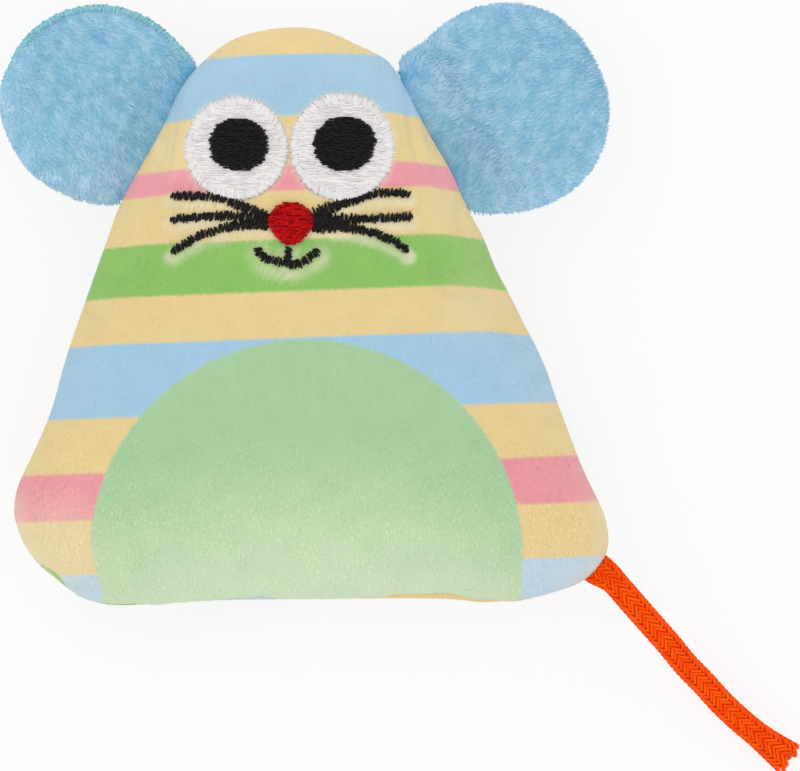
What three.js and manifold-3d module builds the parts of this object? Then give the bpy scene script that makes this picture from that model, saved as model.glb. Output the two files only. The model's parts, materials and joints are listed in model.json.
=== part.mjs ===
// Catnip mouse: a small stuffed cat toy sewn from two panels, with plush ears and a cord tail.
// It lies on its back: +Z comes out of the face, +Y points to the crown. Sizes are millimetres.

import * as THREE from 'three';
import { mergeVertices } from 'three/addons/utils/BufferGeometryUtils.js';
import Module from 'manifold-3d';

const wasm = await Module();
wasm.setup();

// Body outline: the hull of four circles, the crown, the cheeks and two feet
const crownX = -1.75;
const crownY = 23.1;
const crownRadius = 22.8;
const cheeksX = -1.45;
const cheeksY = 3.05;
const cheeksRadius = 32.2;
const leftFootX = -32.2;
const leftFootY = -34.3;
const leftFootRadius = 15.6;
const rightFootX = 39.7;
const rightFootY = -38.4;
const rightFootRadius = 10.8;

// Stuffed form: both panels swell from the seam to a pole over the belly
const poleX = 0.5;
const poleY = -17;
const frontHeight = 20.6;
const backDepth = 17;
const restFlat = 2;
const swellSpread = 2.2;
const swellShoulder = 1.8;

// Fabric, seam and the gap kept between neighbouring pieces
const panelWall = 1.6;
const seamAllowance = 4;
const seamRound = 1;
const threadRadius = 0.25;
const closingThreadRadius = 0.3;
const closingStitchPitch = 3;
const closingStitchSwing = 0.2;
const stuffingGap = 36;
const clearance = 0.3;

// Filling and catnip sachet
const fillingClearance = 0.4;
const sachetX = 0;
const sachetY = -16;
const sachetWidth = 34;
const sachetHeight = 24;
const sachetThickness = 10;
const pocketMouthWidth = 20;
const pocketMouthThickness = 6;

// Ears: plush discs closed by an overlocked rim and folded about their sewn root
const leftEarX = -34.4;
const leftEarY = 33;
const leftEarRadius = 16.7;
const rightEarX = 33.6;
const rightEarY = 32.7;
const rightEarRadius = 17.5;
const earRim = 1;
const earCrown = 2;
const overlockRadius = 0.75;
const earTabThickness = 1.6;
const earTabMargin = 2;

// Tail: a braided cord sewn into the seam at the right foot, laid down to the floor
const tailRadius = 2.25;
const tailExitDegrees = -34;
const tailAnchorWidth = 5.4;
const tailAnchorThickness = 2.4;
const tailRoute = [
  [0, 0, 0],
  [1.6, -1.6, 0],
  [4.2, -4.6, -0.5],
  [7.2, -8, -1.9],
  [10.1, -11.3, -4.1],
  [12.9, -14.7, -6.7],
  [16.1, -18, -9.2],
  [19.1, -21.3, -11],
  [22.8, -24.7, -12],
  [27, -28.1, -12.3],
  [30.6, -30.8, -12.3],
];

// Embroidered face
const stitchHeight = 0.7;
const noseHeight = 1.4;
const eyeY = 25.8;
const leftEyeX = -11.5;
const leftEyeWidth = 16.9;
const leftEyeHeight = 17.1;
const rightEyeX = 6.3;
const rightEyeWidth = 17.1;
const rightEyeHeight = 17.9;
const pupilWidth = 9.7;
const pupilHeight = 8.6;
const pupilShiftX = 0.6;
const pupilShiftY = 0.4;
const pupilSquareness = 2.3;
const noseX = -2.25;
const noseY = 13;
const noseWidth = 7.5;
const noseLength = 7.3;
const nosePoint = 0.3;
const whiskerWidth = 1.7;
const whiskerRootWidth = 1.3;
const mouthWidth = 1.5;
const mouthStemWidth = 1.2;
const backingMargin = 2.5;
const backingThickness = 0.5;
const backingSquareness = 3;

// Whiskers and mouth run from the nose outwards, as offsets from its centre
const whiskerRoutes = {
  left_upper: [[-4.5, 2.1], [-8.6, 3.5], [-12.4, 4.5], [-19.9, 4.7]],
  left_middle: [[-4.1, 0.4], [-7.6, 0.8], [-11.4, 1.3], [-20, 0.7]],
  left_lower: [[-4.5, -1.3], [-10.9, -1], [-15.5, -2.4], [-19.9, -4.8]],
  right_upper: [[4.5, 2.1], [8.2, 3.4], [14.9, 5.2], [19.9, 5]],
  right_middle: [[4.1, 0.5], [11, 0.7], [20.4, 1.2]],
  right_lower: [[4.5, -1.2], [10, -1.1], [14.2, -2], [19.5, -4.8]],
};
const mouthRoute = [
  [-5.9, -4],
  [-4.3, -5.7],
  [-2.2, -6.3],
  [-0.5, -6.7],
  [1, -6.7],
  [2.3, -6.2],
  [4.7, -4.5],
];
const mouthStemRoute = [[-0.4, -4.1], [-0.4, -6.4]];

// Facet counts
const arcSteps = 10;
const cheekSteps = 2;
const sideSteps = 4;
const swellSteps = 8;
const padSides = 24;
const stripSteps = 9;
const earArcSteps = 22;
const earRootSteps = 6;
const threadSides = 5;
const seamThreadSteps = 60;
const overlockSides = 8;
const overlockSteps = 22;
const tailSides = 10;
const tailSteps = 14;
const sachetSides = 20;
const earCrownShares = [0.75, 0.4];
const patchShare = 0.5;
const mergeDistance = 1e-4;

// Levels worked out from the sizes above
const seamZ = backDepth - restFlat;
const halfGap = clearance / 2;
const earHalfEdge = halfGap + earRim;
const pole = new THREE.Vector2(poleX, poleY);

// Materials
const cloth = (color, roughness = 0.95) => new THREE.MeshStandardMaterial({ color, roughness, metalness: 0 });
const printedVelboa = cloth(0xe6cd93);
const bluePlush = cloth(0x8dbdd7, 1);
const tealThread = cloth(0x79b8c6, 0.8);
const whiteThread = cloth(0xdedbd9, 0.7);
const blackThread = cloth(0x1b1a1a, 0.7);
const redThread = cloth(0x980c10, 0.65);
const seamThread = cloth(0xf1ead6, 0.8);
const orangeCord = cloth(0xfa5505, 0.8);
const fibre = cloth(0xf4f2ec, 1);
const nonWoven = cloth(0xf0efe9, 0.9);
const sachetCloth = cloth(0xc3c79b, 0.95);

// Turns every face of a closed mesh outwards
function faceOut(geometry) {
  const corners = geometry.getAttribute('position');
  const faces = geometry.getIndex().array;
  const [a, b, c] = [new THREE.Vector3(), new THREE.Vector3(), new THREE.Vector3()];
  let volume = 0;
  for (let i = 0; i < faces.length; i += 3) {
    a.fromBufferAttribute(corners, faces[i]);
    b.fromBufferAttribute(corners, faces[i + 1]);
    c.fromBufferAttribute(corners, faces[i + 2]);
    volume += a.dot(b.cross(c));
  }
  if (volume < 0) {
    for (let i = 0; i < faces.length; i += 3) {
      [faces[i + 1], faces[i + 2]] = [faces[i + 2], faces[i + 1]];
    }
  }
  return geometry;
}

// Joins rings of equal length into one closed skin, from a first middle point to a last one
function skin(first, rings, last) {
  const count = rings[0].length;
  const corners = [first, ...rings.flat(), last];
  const faces = [];
  const corner = (ring, i) => 1 + ring * count + (i % count);
  for (let i = 0; i < count; i += 1) {
    faces.push(0, corner(0, i + 1), corner(0, i));
    for (let ring = 0; ring + 1 < rings.length; ring += 1) {
      faces.push(corner(ring, i), corner(ring, i + 1), corner(ring + 1, i));
      faces.push(corner(ring, i + 1), corner(ring + 1, i + 1), corner(ring + 1, i));
    }
    faces.push(corners.length - 1, corner(rings.length - 1, i), corner(rings.length - 1, i + 1));
  }
  const geometry = new THREE.BufferGeometry().setFromPoints(corners);
  geometry.setIndex(faces);
  return faceOut(geometry);
}

const middle = (ring) => ring.reduce((sum, p) => sum.add(p), new THREE.Vector3()).divideScalar(ring.length);

// Leaves a three.js geometry with shared corners only
function merged(geometry) {
  geometry.deleteAttribute('normal');
  geometry.deleteAttribute('uv');
  return faceOut(mergeVertices(geometry, mergeDistance));
}

// A round tube along a smooth path through the given points
function tube(points, radius, sides, steps) {
  const section = new THREE.Shape();
  for (let i = 0; i < sides; i += 1) {
    const angle = (2 * Math.PI * i) / sides;
    const x = radius * Math.cos(angle);
    const y = radius * Math.sin(angle);
    if (i === 0) section.moveTo(x, y);
    else section.lineTo(x, y);
  }
  const extrudePath = new THREE.CatmullRomCurve3(points);
  return merged(new THREE.ExtrudeGeometry(section, { steps, extrudePath }));
}

// Boolean solids
function solid(geometry) {
  const vertProperties = new Float32Array(geometry.getAttribute('position').array);
  const triVerts = new Uint32Array(geometry.getIndex().array);
  return new wasm.Manifold(new wasm.Mesh({ numProp: 3, vertProperties, triVerts }));
}

function geometryOf(manifold) {
  const mesh = manifold.getMesh();
  const geometry = new THREE.BufferGeometry();
  geometry.setAttribute('position', new THREE.BufferAttribute(mesh.vertProperties, 3));
  geometry.setIndex([...mesh.triVerts]);
  return geometry;
}

const cutBy = (geometry, ...cutters) =>
  geometryOf(cutters.reduce((left, cutter) => left.subtract(solid(cutter)), solid(geometry)));
const joined = (...geometries) =>
  geometryOf(geometries.slice(1).reduce((sum, next) => sum.add(solid(next)), solid(geometries[0])));

// Outline of the body, set in from the seam by a distance; the cheeks show on both sides of the crown
const bodyCircle = (x, y, radius, steps) => ({ centre: new THREE.Vector2(x, y), radius, steps });
const cheeks = bodyCircle(cheeksX, cheeksY, cheeksRadius, cheekSteps);
const bodyCircles = [
  bodyCircle(rightFootX, rightFootY, rightFootRadius, arcSteps),
  cheeks,
  bodyCircle(crownX, crownY, crownRadius, arcSteps),
  cheeks,
  bodyCircle(leftFootX, leftFootY, leftFootRadius, arcSteps),
];

function tangentAngle(from, to) {
  const run = to.centre.clone().sub(from.centre);
  return run.angle() - Math.PI / 2 + Math.asin((from.radius - to.radius) / run.length());
}

function bodyOutline(setIn) {
  const points = [];
  const count = bodyCircles.length;
  bodyCircles.forEach((circle, i) => {
    const before = bodyCircles[(i + count - 1) % count];
    const after = bodyCircles[(i + 1) % count];
    const start = tangentAngle(before, circle);
    let end = tangentAngle(circle, after);
    while (end < start) end += 2 * Math.PI;
    const onCircle = (around, angle) =>
      new THREE.Vector2(Math.cos(angle), Math.sin(angle))
        .multiplyScalar(around.radius - setIn)
        .add(around.centre);
    for (let step = 0; step < circle.steps; step += 1) {
      points.push(onCircle(circle, THREE.MathUtils.lerp(start, end, step / circle.steps)));
    }
    for (let step = 0; step < sideSteps; step += 1) {
      points.push(onCircle(circle, end).lerp(onCircle(after, end), step / sideSteps));
    }
  });
  return points;
}

// Distance from the pole to an outline, in the direction of a point
function reach(outline, x, y) {
  const towards = new THREE.Vector2(x, y).sub(pole).normalize();
  for (let i = 0; i < outline.length; i += 1) {
    const a = outline[i].clone().sub(pole);
    const edge = outline[(i + 1) % outline.length].clone().sub(pole).sub(a);
    const across = towards.cross(edge);
    const along = a.cross(towards) / across;
    const distance = a.cross(edge) / across;
    if (distance > 0 && along >= 0 && along < 1) return distance;
  }
  throw new Error('the pole lies outside the outline');
}

// A swelling over an outline: it rises from baseZ at the outline to its full height at the pole
function swelling(setIn, baseZ, rise, lowest = -Infinity) {
  return { outline: bodyOutline(setIn), baseZ, rise, lowest };
}

function heightOn(form, x, y) {
  const away = Math.hypot(x - poleX, y - poleY);
  const share = away === 0 ? 0 : Math.min(1, away / reach(form.outline, x, y));
  const rise = form.rise * (1 - share ** swellSpread) ** (1 / swellShoulder);
  return Math.max(form.baseZ + rise, form.lowest);
}

const ringAt = (outline, z, share = 1) =>
  outline.map((p) => {
    const at = pole.clone().lerp(p, share);
    return new THREE.Vector3(at.x, at.y, z);
  });

// Rings of a swelling from next to the pole outwards to the outline
function swellRings(form) {
  const rings = [];
  for (let step = 1; step <= swellSteps; step += 1) {
    const turn = (Math.PI / 2) * (step / swellSteps);
    const share = Math.sin(turn) ** (2 / swellSpread);
    const rise = step === swellSteps ? 0 : form.rise * Math.cos(turn) ** (2 / swellShoulder);
    rings.push(ringAt(form.outline, Math.max(form.baseZ + rise, form.lowest), share));
  }
  return rings;
}

const polePoint = (form) => new THREE.Vector3(poleX, poleY, heightOn(form, poleX, poleY));

// The two panels' outer and inner faces
const frontSeamZ = seamZ + halfGap;
const backSeamZ = seamZ - halfGap;
const frontOuter = swelling(0, frontSeamZ + seamRound, frontHeight - halfGap - seamRound);
const frontInner = swelling(
  panelWall,
  frontSeamZ + panelWall,
  frontHeight - halfGap - 2 * panelWall,
);
const backOuter = swelling(0, backSeamZ - seamRound, seamRound + halfGap - backDepth, 0);
const backInner = swelling(
  panelWall,
  backSeamZ - panelWall,
  2 * panelWall + halfGap - backDepth,
  panelWall,
);

// A panel: its outer face, the rounded seam edge, the turned-in seam allowance and its inner face
function panel(outer, inner, edgeZ, up) {
  const lip = bodyOutline(panelWall + seamAllowance);
  const rings = [
    ...swellRings(outer),
    ringAt(bodyOutline(seamRound), edgeZ),
    ringAt(lip, edgeZ),
    ringAt(lip, edgeZ + up * panelWall),
    ...swellRings(inner).reverse(),
  ];
  return skin(polePoint(outer), rings, polePoint(inner));
}

// A flat or padded patch of stitching that follows a face of the body
function patch(form, outline, low, high, crown = high) {
  const centre = outline.reduce((sum, p) => sum.add(p), new THREE.Vector2()).divideScalar(outline.length);
  const lay = (share, above) =>
    outline.map((p) => {
      const at = centre.clone().lerp(p, share);
      return new THREE.Vector3(at.x, at.y, heightOn(form, at.x, at.y) + above);
    });
  const middleAt = (above) =>
    new THREE.Vector3(centre.x, centre.y, heightOn(form, centre.x, centre.y) + above);
  const bowed = THREE.MathUtils.lerp(crown, high, patchShare * patchShare);
  const rings = [lay(patchShare, low), lay(1, low), lay(1, high), lay(patchShare, bowed)];
  return skin(middleAt(low), rings, middleAt(crown));
}

// A line of satin stitches along a route, with its width at both ends
function strip(route, startWidth, endWidth, low, high) {
  const curve = new THREE.SplineCurve(route);
  const rings = [];
  for (let step = 0; step <= stripSteps; step += 1) {
    const share = step / stripSteps;
    const half = THREE.MathUtils.lerp(startWidth, endWidth, Math.min(1, 2 * share)) / 2;
    const at = curve.getPoint(share);
    const side = curve.getTangent(share).rotateAround(new THREE.Vector2(), Math.PI / 2).multiplyScalar(half);
    const edge = (sign, above) => {
      const p = at.clone().addScaledVector(side, sign);
      return new THREE.Vector3(p.x, p.y, heightOn(frontOuter, p.x, p.y) + above);
    };
    rings.push([edge(1, low), edge(-1, low), edge(-1, high), edge(1, high)]);
  }
  return skin(middle(rings[0]), rings, middle(rings[rings.length - 1]));
}

// Closed outlines for the stitched patches
function roundOutline(x, y, width, height, squareness = 2, point = 0) {
  const outline = [];
  for (let i = 0; i < padSides; i += 1) {
    const angle = (2 * Math.PI * i) / padSides;
    const [c, s] = [Math.cos(angle), Math.sin(angle)];
    const across = Math.sign(c) * Math.abs(c) ** (2 / squareness) * (1 - point * Math.max(0, -s));
    const along = Math.sign(s) * Math.abs(s) ** (2 / squareness);
    outline.push(new THREE.Vector2(x + (width / 2) * across, y + (height / 2) * along));
  }
  return outline;
}

// An ear's place: where its disc meets the body, and the fold line just outside the seam
function earPlace(x, y, radius) {
  const centre = new THREE.Vector2(x, y);
  const outline = bodyOutline(0);
  const within = outline.filter((p) => p.distanceTo(centre) < radius);
  const crossings = [];
  outline.forEach((p, i) => {
    const next = outline[(i + 1) % outline.length];
    const from = p.distanceTo(centre) - radius;
    const to = next.distanceTo(centre) - radius;
    if (from * to < 0) crossings.push(p.clone().lerp(next, from / (from - to)));
  });
  const along = crossings[1].clone().sub(crossings[0]);
  const chord = along.length();
  along.normalize();
  const out = new THREE.Vector2(along.y, -along.x);
  if (out.dot(centre.clone().sub(crossings[0])) < 0) out.negate();
  const bulge = Math.max(0, ...within.map((p) => p.clone().sub(crossings[0]).dot(out)));
  const root = crossings[0].clone().lerp(crossings[1], 0.5);
  const fold = root.clone().addScaledVector(out, bulge + earHalfEdge + clearance);
  const depth = centre.clone().sub(fold).dot(out);
  return { centre, radius, along, out, chord, bulge, root, fold, depth };
}

// Outline of an ear disc at height z, cut off along a line a step beyond the fold
function earRing(ear, radius, beyondFold, z, share = 1) {
  const facing = ear.out.angle() + Math.PI;
  const open = Math.acos((ear.depth - beyondFold) / radius);
  const onDisc = (angle) =>
    new THREE.Vector2(Math.cos(angle), Math.sin(angle)).multiplyScalar(radius).add(ear.centre);
  const [start, end] = [facing + open, facing + 2 * Math.PI - open];
  const points = [];
  for (let step = 0; step < earArcSteps; step += 1) {
    points.push(onDisc(THREE.MathUtils.lerp(start, end, step / earArcSteps)));
  }
  for (let step = 0; step < earRootSteps; step += 1) {
    points.push(onDisc(end).lerp(onDisc(start), step / earRootSteps));
  }
  return points.map((p) => {
    const at = ear.centre.clone().lerp(p, share);
    return new THREE.Vector3(at.x, at.y, z);
  });
}

// One plush layer of an ear, crowned in the middle and rounded about the fold at its root
function earLayer(ear, up) {
  const radius = ear.radius - 2 * overlockRadius - clearance;
  const level = (above) => seamZ + up * above;
  const crownAt = (share) => earHalfEdge + (earCrown - earRim) * (1 - share * share);
  const roundAt = (above) => -Math.sqrt(earHalfEdge * earHalfEdge - above * above);
  const shoulder = earHalfEdge * Math.SQRT1_2;
  const rings = [
    earRing(ear, radius, roundAt(halfGap), level(halfGap)),
    earRing(ear, radius, roundAt(shoulder), level(shoulder)),
    earRing(ear, radius, 0, level(earHalfEdge)),
    ...earCrownShares.map((share) => earRing(ear, radius, 0, level(crownAt(share)), share)),
  ];
  const centreAt = (above) => new THREE.Vector3(ear.centre.x, ear.centre.y, level(above));
  return skin(centreAt(halfGap), rings, centreAt(crownAt(0)));
}

// The overlock thread rolled round an ear's rim
function earOverlock(ear) {
  const radius = ear.radius - overlockRadius;
  const points = earRing(ear, radius, overlockRadius, seamZ).slice(0, earArcSteps + 1);
  return tube(points, overlockRadius, overlockSides, overlockSteps);
}

// The pressed root of an ear, sewn between the seam allowances; grown and opened out as a cutter
function earTab(ear, grow = 0, opening = 0) {
  const depth = seamAllowance + 2 * grow + opening;
  const box = new THREE.BoxGeometry(
    ear.chord - 2 * earTabMargin + 2 * grow,
    depth,
    earTabThickness + 2 * grow,
  );
  const along = new THREE.Vector3(ear.along.x, ear.along.y, 0);
  const up = new THREE.Vector3(0, 0, 1);
  const turn = new THREE.Matrix4().makeBasis(along, up.clone().cross(along), up);
  const at = ear.root.clone().addScaledVector(ear.out, grow + opening - depth / 2);
  return merged(box.applyMatrix4(turn.setPosition(at.x, at.y, seamZ)));
}

// The tail's exit on the right foot, its pivot and its sewn-in end
const tailTurn = THREE.MathUtils.degToRad(tailExitDegrees);
const tailOut = new THREE.Vector3(Math.cos(tailTurn), Math.sin(tailTurn), 0);
const tailExit = new THREE.Vector3(rightFootX, rightFootY, seamZ).addScaledVector(tailOut, rightFootRadius);
const tailPivot = tailExit.clone().addScaledVector(tailOut, tailRadius + clearance);

function tailAnchor(grow = 0, opening = 0) {
  const depth = seamAllowance + 2 * grow + opening;
  const end = new THREE.CylinderGeometry(1, 1, depth, 2 * tailSides);
  end.scale(tailAnchorWidth / 2 + grow, 1, tailAnchorThickness / 2 + grow);
  end.rotateZ(tailTurn - Math.PI / 2);
  const at = tailExit.clone().addScaledVector(tailOut, grow + opening - clearance - depth / 2);
  return merged(end.translate(at.x, at.y, at.z));
}

function tailCord() {
  const points = tailRoute.map((step) => new THREE.Vector3(...step).add(tailPivot));
  const root = new THREE.SphereGeometry(tailRadius, 2 * tailSides, tailSides);
  root.translate(tailPivot.x, tailPivot.y, tailPivot.z);
  return joined(tube(points, tailRadius, tailSides, tailSteps), merged(root));
}

// Filling: one wad of fibre with a waist for the seam allowances and a pocket open to the stuffing gap
function fillingWad() {
  const shrink = (rings, up) =>
    rings.map((ring) =>
      ring.map((p) => {
        const flat = new THREE.Vector2(p.x, p.y);
        const towards = pole.clone().sub(flat).normalize();
        flat.addScaledVector(towards, fillingClearance);
        return new THREE.Vector3(flat.x, flat.y, p.z - up * fillingClearance);
      }),
    );
  const front = shrink(swellRings(frontInner).slice(0, -1), 1);
  const back = shrink(swellRings(backInner).slice(0, -1), -1).reverse();
  const waist = bodyOutline(panelWall + seamAllowance + fillingClearance);
  const top = polePoint(frontInner);
  const bottom = polePoint(backInner);
  top.z -= fillingClearance;
  bottom.z += fillingClearance;
  const rings = [
    ...front,
    ringAt(waist, front[front.length - 1][0].z),
    ringAt(waist, back[0][0].z),
    ...back,
  ];
  return skin(top, rings, bottom);
}

function sachet(grow = 0) {
  const pillow = new THREE.SphereGeometry(1, sachetSides, sachetSides / 2);
  pillow.rotateX(Math.PI / 2);
  pillow.scale(sachetWidth / 2 + grow, sachetHeight / 2 + grow, sachetThickness / 2 + grow);
  return merged(pillow.translate(sachetX, sachetY, seamZ));
}

function pocketMouth() {
  const lowestY = Math.min(...bodyOutline(0).map((p) => p.y));
  const length = sachetY - lowestY;
  const mouth = new THREE.BoxGeometry(pocketMouthWidth, length, pocketMouthThickness);
  return merged(mouth.translate(sachetX, sachetY - length / 2, seamZ));
}

// Seam stitching: the needle and bobbin threads round the body, open at the stuffing gap
function seamStitching(up) {
  const level = seamZ + up * (halfGap + panelWall + clearance + threadRadius);
  const ring = ringAt(bodyOutline(panelWall + seamAllowance / 2), level);
  const baseStart = ring.length - sideSteps;
  const base = [ring[baseStart], ring[0]];
  const share = stuffingGap / 2 / base[0].distanceTo(base[1]);
  const gapStart = base[0].clone().lerp(base[1], 0.5 - share);
  const gapEnd = base[0].clone().lerp(base[1], 0.5 + share);
  const points = [gapEnd, ...ring.slice(0, baseStart + 1), gapStart];
  return tube(points, threadRadius, threadSides, seamThreadSteps);
}

// The stuffing gap's closing thread, worked from side to side in the groove of the seam
function closingStitch() {
  const outline = ringAt(bodyOutline(closingStitchSwing / 2), seamZ);
  const base = [outline[outline.length - sideSteps], outline[0]];
  const count = 2 * Math.round(stuffingGap / closingStitchPitch / 2);
  const length = base[0].distanceTo(base[1]);
  const points = [];
  for (let i = 0; i <= count; i += 1) {
    const share = 0.5 + ((i / count - 0.5) * stuffingGap) / length;
    const at = base[0].clone().lerp(base[1], share);
    at.z += closingStitchSwing * (i % 2 ? 1 : -1);
    points.push(at);
  }
  return tube(points, closingThreadRadius, threadSides, 3 * count);
}

// Face pieces, all laid on the front panel's outer face
const fromNose = (route) => route.map(([x, y]) => new THREE.Vector2(noseX + x, noseY + y));
const stitchLow = clearance;
const stitchHigh = clearance + stitchHeight;
const eyes = {
  left: { x: leftEyeX, width: leftEyeWidth, height: leftEyeHeight },
  right: { x: rightEyeX, width: rightEyeWidth, height: rightEyeHeight },
};

function eyeWhite({ x, width, height }, grow = 0) {
  const outline = roundOutline(x, eyeY, width + 2 * grow, height + 2 * grow);
  return patch(frontOuter, outline, stitchLow - grow, stitchHigh + grow);
}

function pupil({ x }) {
  const outline = roundOutline(x + pupilShiftX, eyeY + pupilShiftY, pupilWidth, pupilHeight, pupilSquareness);
  return patch(frontOuter, outline, stitchHigh + clearance, stitchHigh + clearance + stitchHeight);
}

function nose() {
  const outline = roundOutline(noseX, noseY, noseWidth, noseLength, 2, nosePoint);
  return patch(frontOuter, outline, stitchLow, stitchHigh, clearance + noseHeight);
}

function mouth() {
  const smile = strip(fromNose(mouthRoute), mouthWidth, mouthWidth, stitchLow, stitchHigh);
  const stem = strip(fromNose(mouthStemRoute), mouthStemWidth, mouthStemWidth, stitchLow, stitchHigh);
  return joined(smile, stem);
}

function whisker(route, eye) {
  const line = strip(fromNose(route), whiskerRootWidth, whiskerWidth, stitchLow, stitchHigh);
  return cutBy(line, eyeWhite(eye, clearance));
}

// Backing behind the embroidery, on the front panel's inner face; grown and raised as a cutter
function faceBacking(grow = 0, raise = 0) {
  const left = leftEyeX - leftEyeWidth / 2 - backingMargin;
  const right = rightEyeX + rightEyeWidth / 2 + backingMargin;
  const top = eyeY + rightEyeHeight / 2;
  const bottom = noseY - noseLength - backingMargin;
  const [width, height] = [right - left + 2 * grow, top - bottom + 2 * grow];
  const outline = roundOutline((left + right) / 2, (top + bottom) / 2, width, height, backingSquareness);
  const high = -2 * clearance;
  return patch(frontInner, outline, high - backingThickness - grow, high + raise);
}

// Assembly: a torso, two folding ears and a swinging tail
const group = new THREE.Group();
const torso = new THREE.Group();
const tail = new THREE.Group();
const ears = {
  left: earPlace(leftEarX, leftEarY, leftEarRadius),
  right: earPlace(rightEarX, rightEarY, rightEarRadius),
};

function add(parent, name, geometry, material) {
  const mesh = new THREE.Mesh(geometry, material);
  mesh.name = name;
  parent.add(mesh);
}

const openings = [
  ...Object.values(ears).map((ear) => earTab(ear, clearance, ear.bulge + clearance)),
  tailAnchor(clearance, 2 * clearance),
];
const frontPanel = panel(frontOuter, frontInner, frontSeamZ, 1);
const backPanel = panel(backOuter, backInner, backSeamZ, -1);
add(torso, 'front_panel', cutBy(frontPanel, ...openings), printedVelboa);
add(torso, 'back_panel', cutBy(backPanel, ...openings), printedVelboa);
const pockets = [
  sachet(clearance),
  pocketMouth(),
  faceBacking(clearance, 2 * panelWall),
  ...Object.values(ears).map((ear) => earTab(ear, clearance)),
  tailAnchor(clearance),
];
add(torso, 'fibre_filling', cutBy(fillingWad(), ...pockets), fibre);
add(torso, 'catnip_sachet', sachet(), sachetCloth);
add(torso, 'embroidery_backing', faceBacking(), nonWoven);
add(torso, 'seam_needle_thread', seamStitching(1), seamThread);
add(torso, 'seam_bobbin_thread', seamStitching(-1), seamThread);
add(torso, 'closing_stitch', closingStitch(), seamThread);
add(torso, 'nose', nose(), redThread);
add(torso, 'mouth', mouth(), blackThread);
for (const [side, eye] of Object.entries(eyes)) {
  add(torso, `eye_white_${side}`, eyeWhite(eye), whiteThread);
  add(torso, `pupil_${side}`, pupil(eye), blackThread);
}
for (const [place, route] of Object.entries(whiskerRoutes)) {
  const eye = place.startsWith('left') ? eyes.left : eyes.right;
  add(torso, `whisker_${place}`, whisker(route, eye), blackThread);
}

for (const [side, ear] of Object.entries(ears)) {
  const flap = new THREE.Group();
  add(torso, `ear_${side}_tab`, earTab(ear), bluePlush);
  add(flap, `ear_${side}_front`, earLayer(ear, 1), bluePlush);
  add(flap, `ear_${side}_back`, earLayer(ear, -1), bluePlush);
  add(flap, `ear_${side}_overlock`, earOverlock(ear), tealThread);
  flap.userData.fold = { point: [ear.fold.x, ear.fold.y, seamZ], axis: [ear.along.x, ear.along.y, 0] };
  group.add(flap);
}

add(torso, 'tail_anchor', tailAnchor(), orangeCord);
add(tail, 'tail_cord', tailCord(), orangeCord);
tail.userData.swing = { point: tailPivot.toArray(), axis: [0, 0, 1] };
group.add(torso, tail);

// The origin is on the floor, under the middle of the toy without its tail
const extent = new THREE.Box3();
for (const part of group.children) {
  if (part !== tail) extent.expandByObject(part);
}
const shift = extent.getCenter(new THREE.Vector3());
group.position.set(-shift.x, -shift.y, 0);

export default group;
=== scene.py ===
import json
import math

import bpy
import numpy as np
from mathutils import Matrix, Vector
from mathutils.bvhtree import BVHTree


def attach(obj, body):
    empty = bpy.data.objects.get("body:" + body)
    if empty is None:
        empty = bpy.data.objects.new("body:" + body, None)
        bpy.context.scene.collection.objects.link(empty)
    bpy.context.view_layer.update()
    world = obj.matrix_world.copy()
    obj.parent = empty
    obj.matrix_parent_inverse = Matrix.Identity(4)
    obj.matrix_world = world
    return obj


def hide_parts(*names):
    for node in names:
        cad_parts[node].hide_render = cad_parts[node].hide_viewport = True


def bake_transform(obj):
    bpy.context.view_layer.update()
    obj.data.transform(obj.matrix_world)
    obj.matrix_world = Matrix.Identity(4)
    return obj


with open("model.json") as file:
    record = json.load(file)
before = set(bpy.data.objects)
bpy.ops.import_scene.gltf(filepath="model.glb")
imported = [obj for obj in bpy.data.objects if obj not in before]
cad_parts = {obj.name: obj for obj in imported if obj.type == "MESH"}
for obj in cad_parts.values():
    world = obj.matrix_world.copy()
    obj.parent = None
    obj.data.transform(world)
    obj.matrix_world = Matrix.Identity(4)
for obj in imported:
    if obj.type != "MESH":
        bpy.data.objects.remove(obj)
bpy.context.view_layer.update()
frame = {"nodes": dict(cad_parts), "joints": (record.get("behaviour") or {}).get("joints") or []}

# A stuffed catnip mouse on its back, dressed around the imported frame.
# Lengths below are millimetres on the drawing, whose origin lies DRAWING_SHIFT from the frame's.
MM = 0.001
DRAWING_SHIFT = np.array([0.023, -0.132, 0.0])
RANDOM = np.random.default_rng(11)
UP = np.array([0.0, 0.0, 1.0])
SCENE = bpy.context.scene

# Body outline, the hull of four circles, and how it swells
RIGHT_FOOT = (39.7, -38.4, 10.8)
CHEEKS = (-1.45, 3.05, 32.2)
CROWN = (-1.75, 23.1, 22.8)
LEFT_FOOT = (-32.2, -34.3, 15.6)
BODY_CIRCLES = (RIGHT_FOOT, CHEEKS, CROWN, CHEEKS, LEFT_FOOT)
ARC_STEPS = 90
SIDE_STEPS = 60
POLE = np.array([0.5, -17.0])
SWELL_SPREAD = 2.2
SWELL_SHOULDER = 1.8
SEAM_Z = 15.0
FRONT_TOP = 35.6
BACK_LOW = -2.0
SEAM_ROUND = 1.15
DOME_SHARE = 0.92
WALL = 0.9
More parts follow.
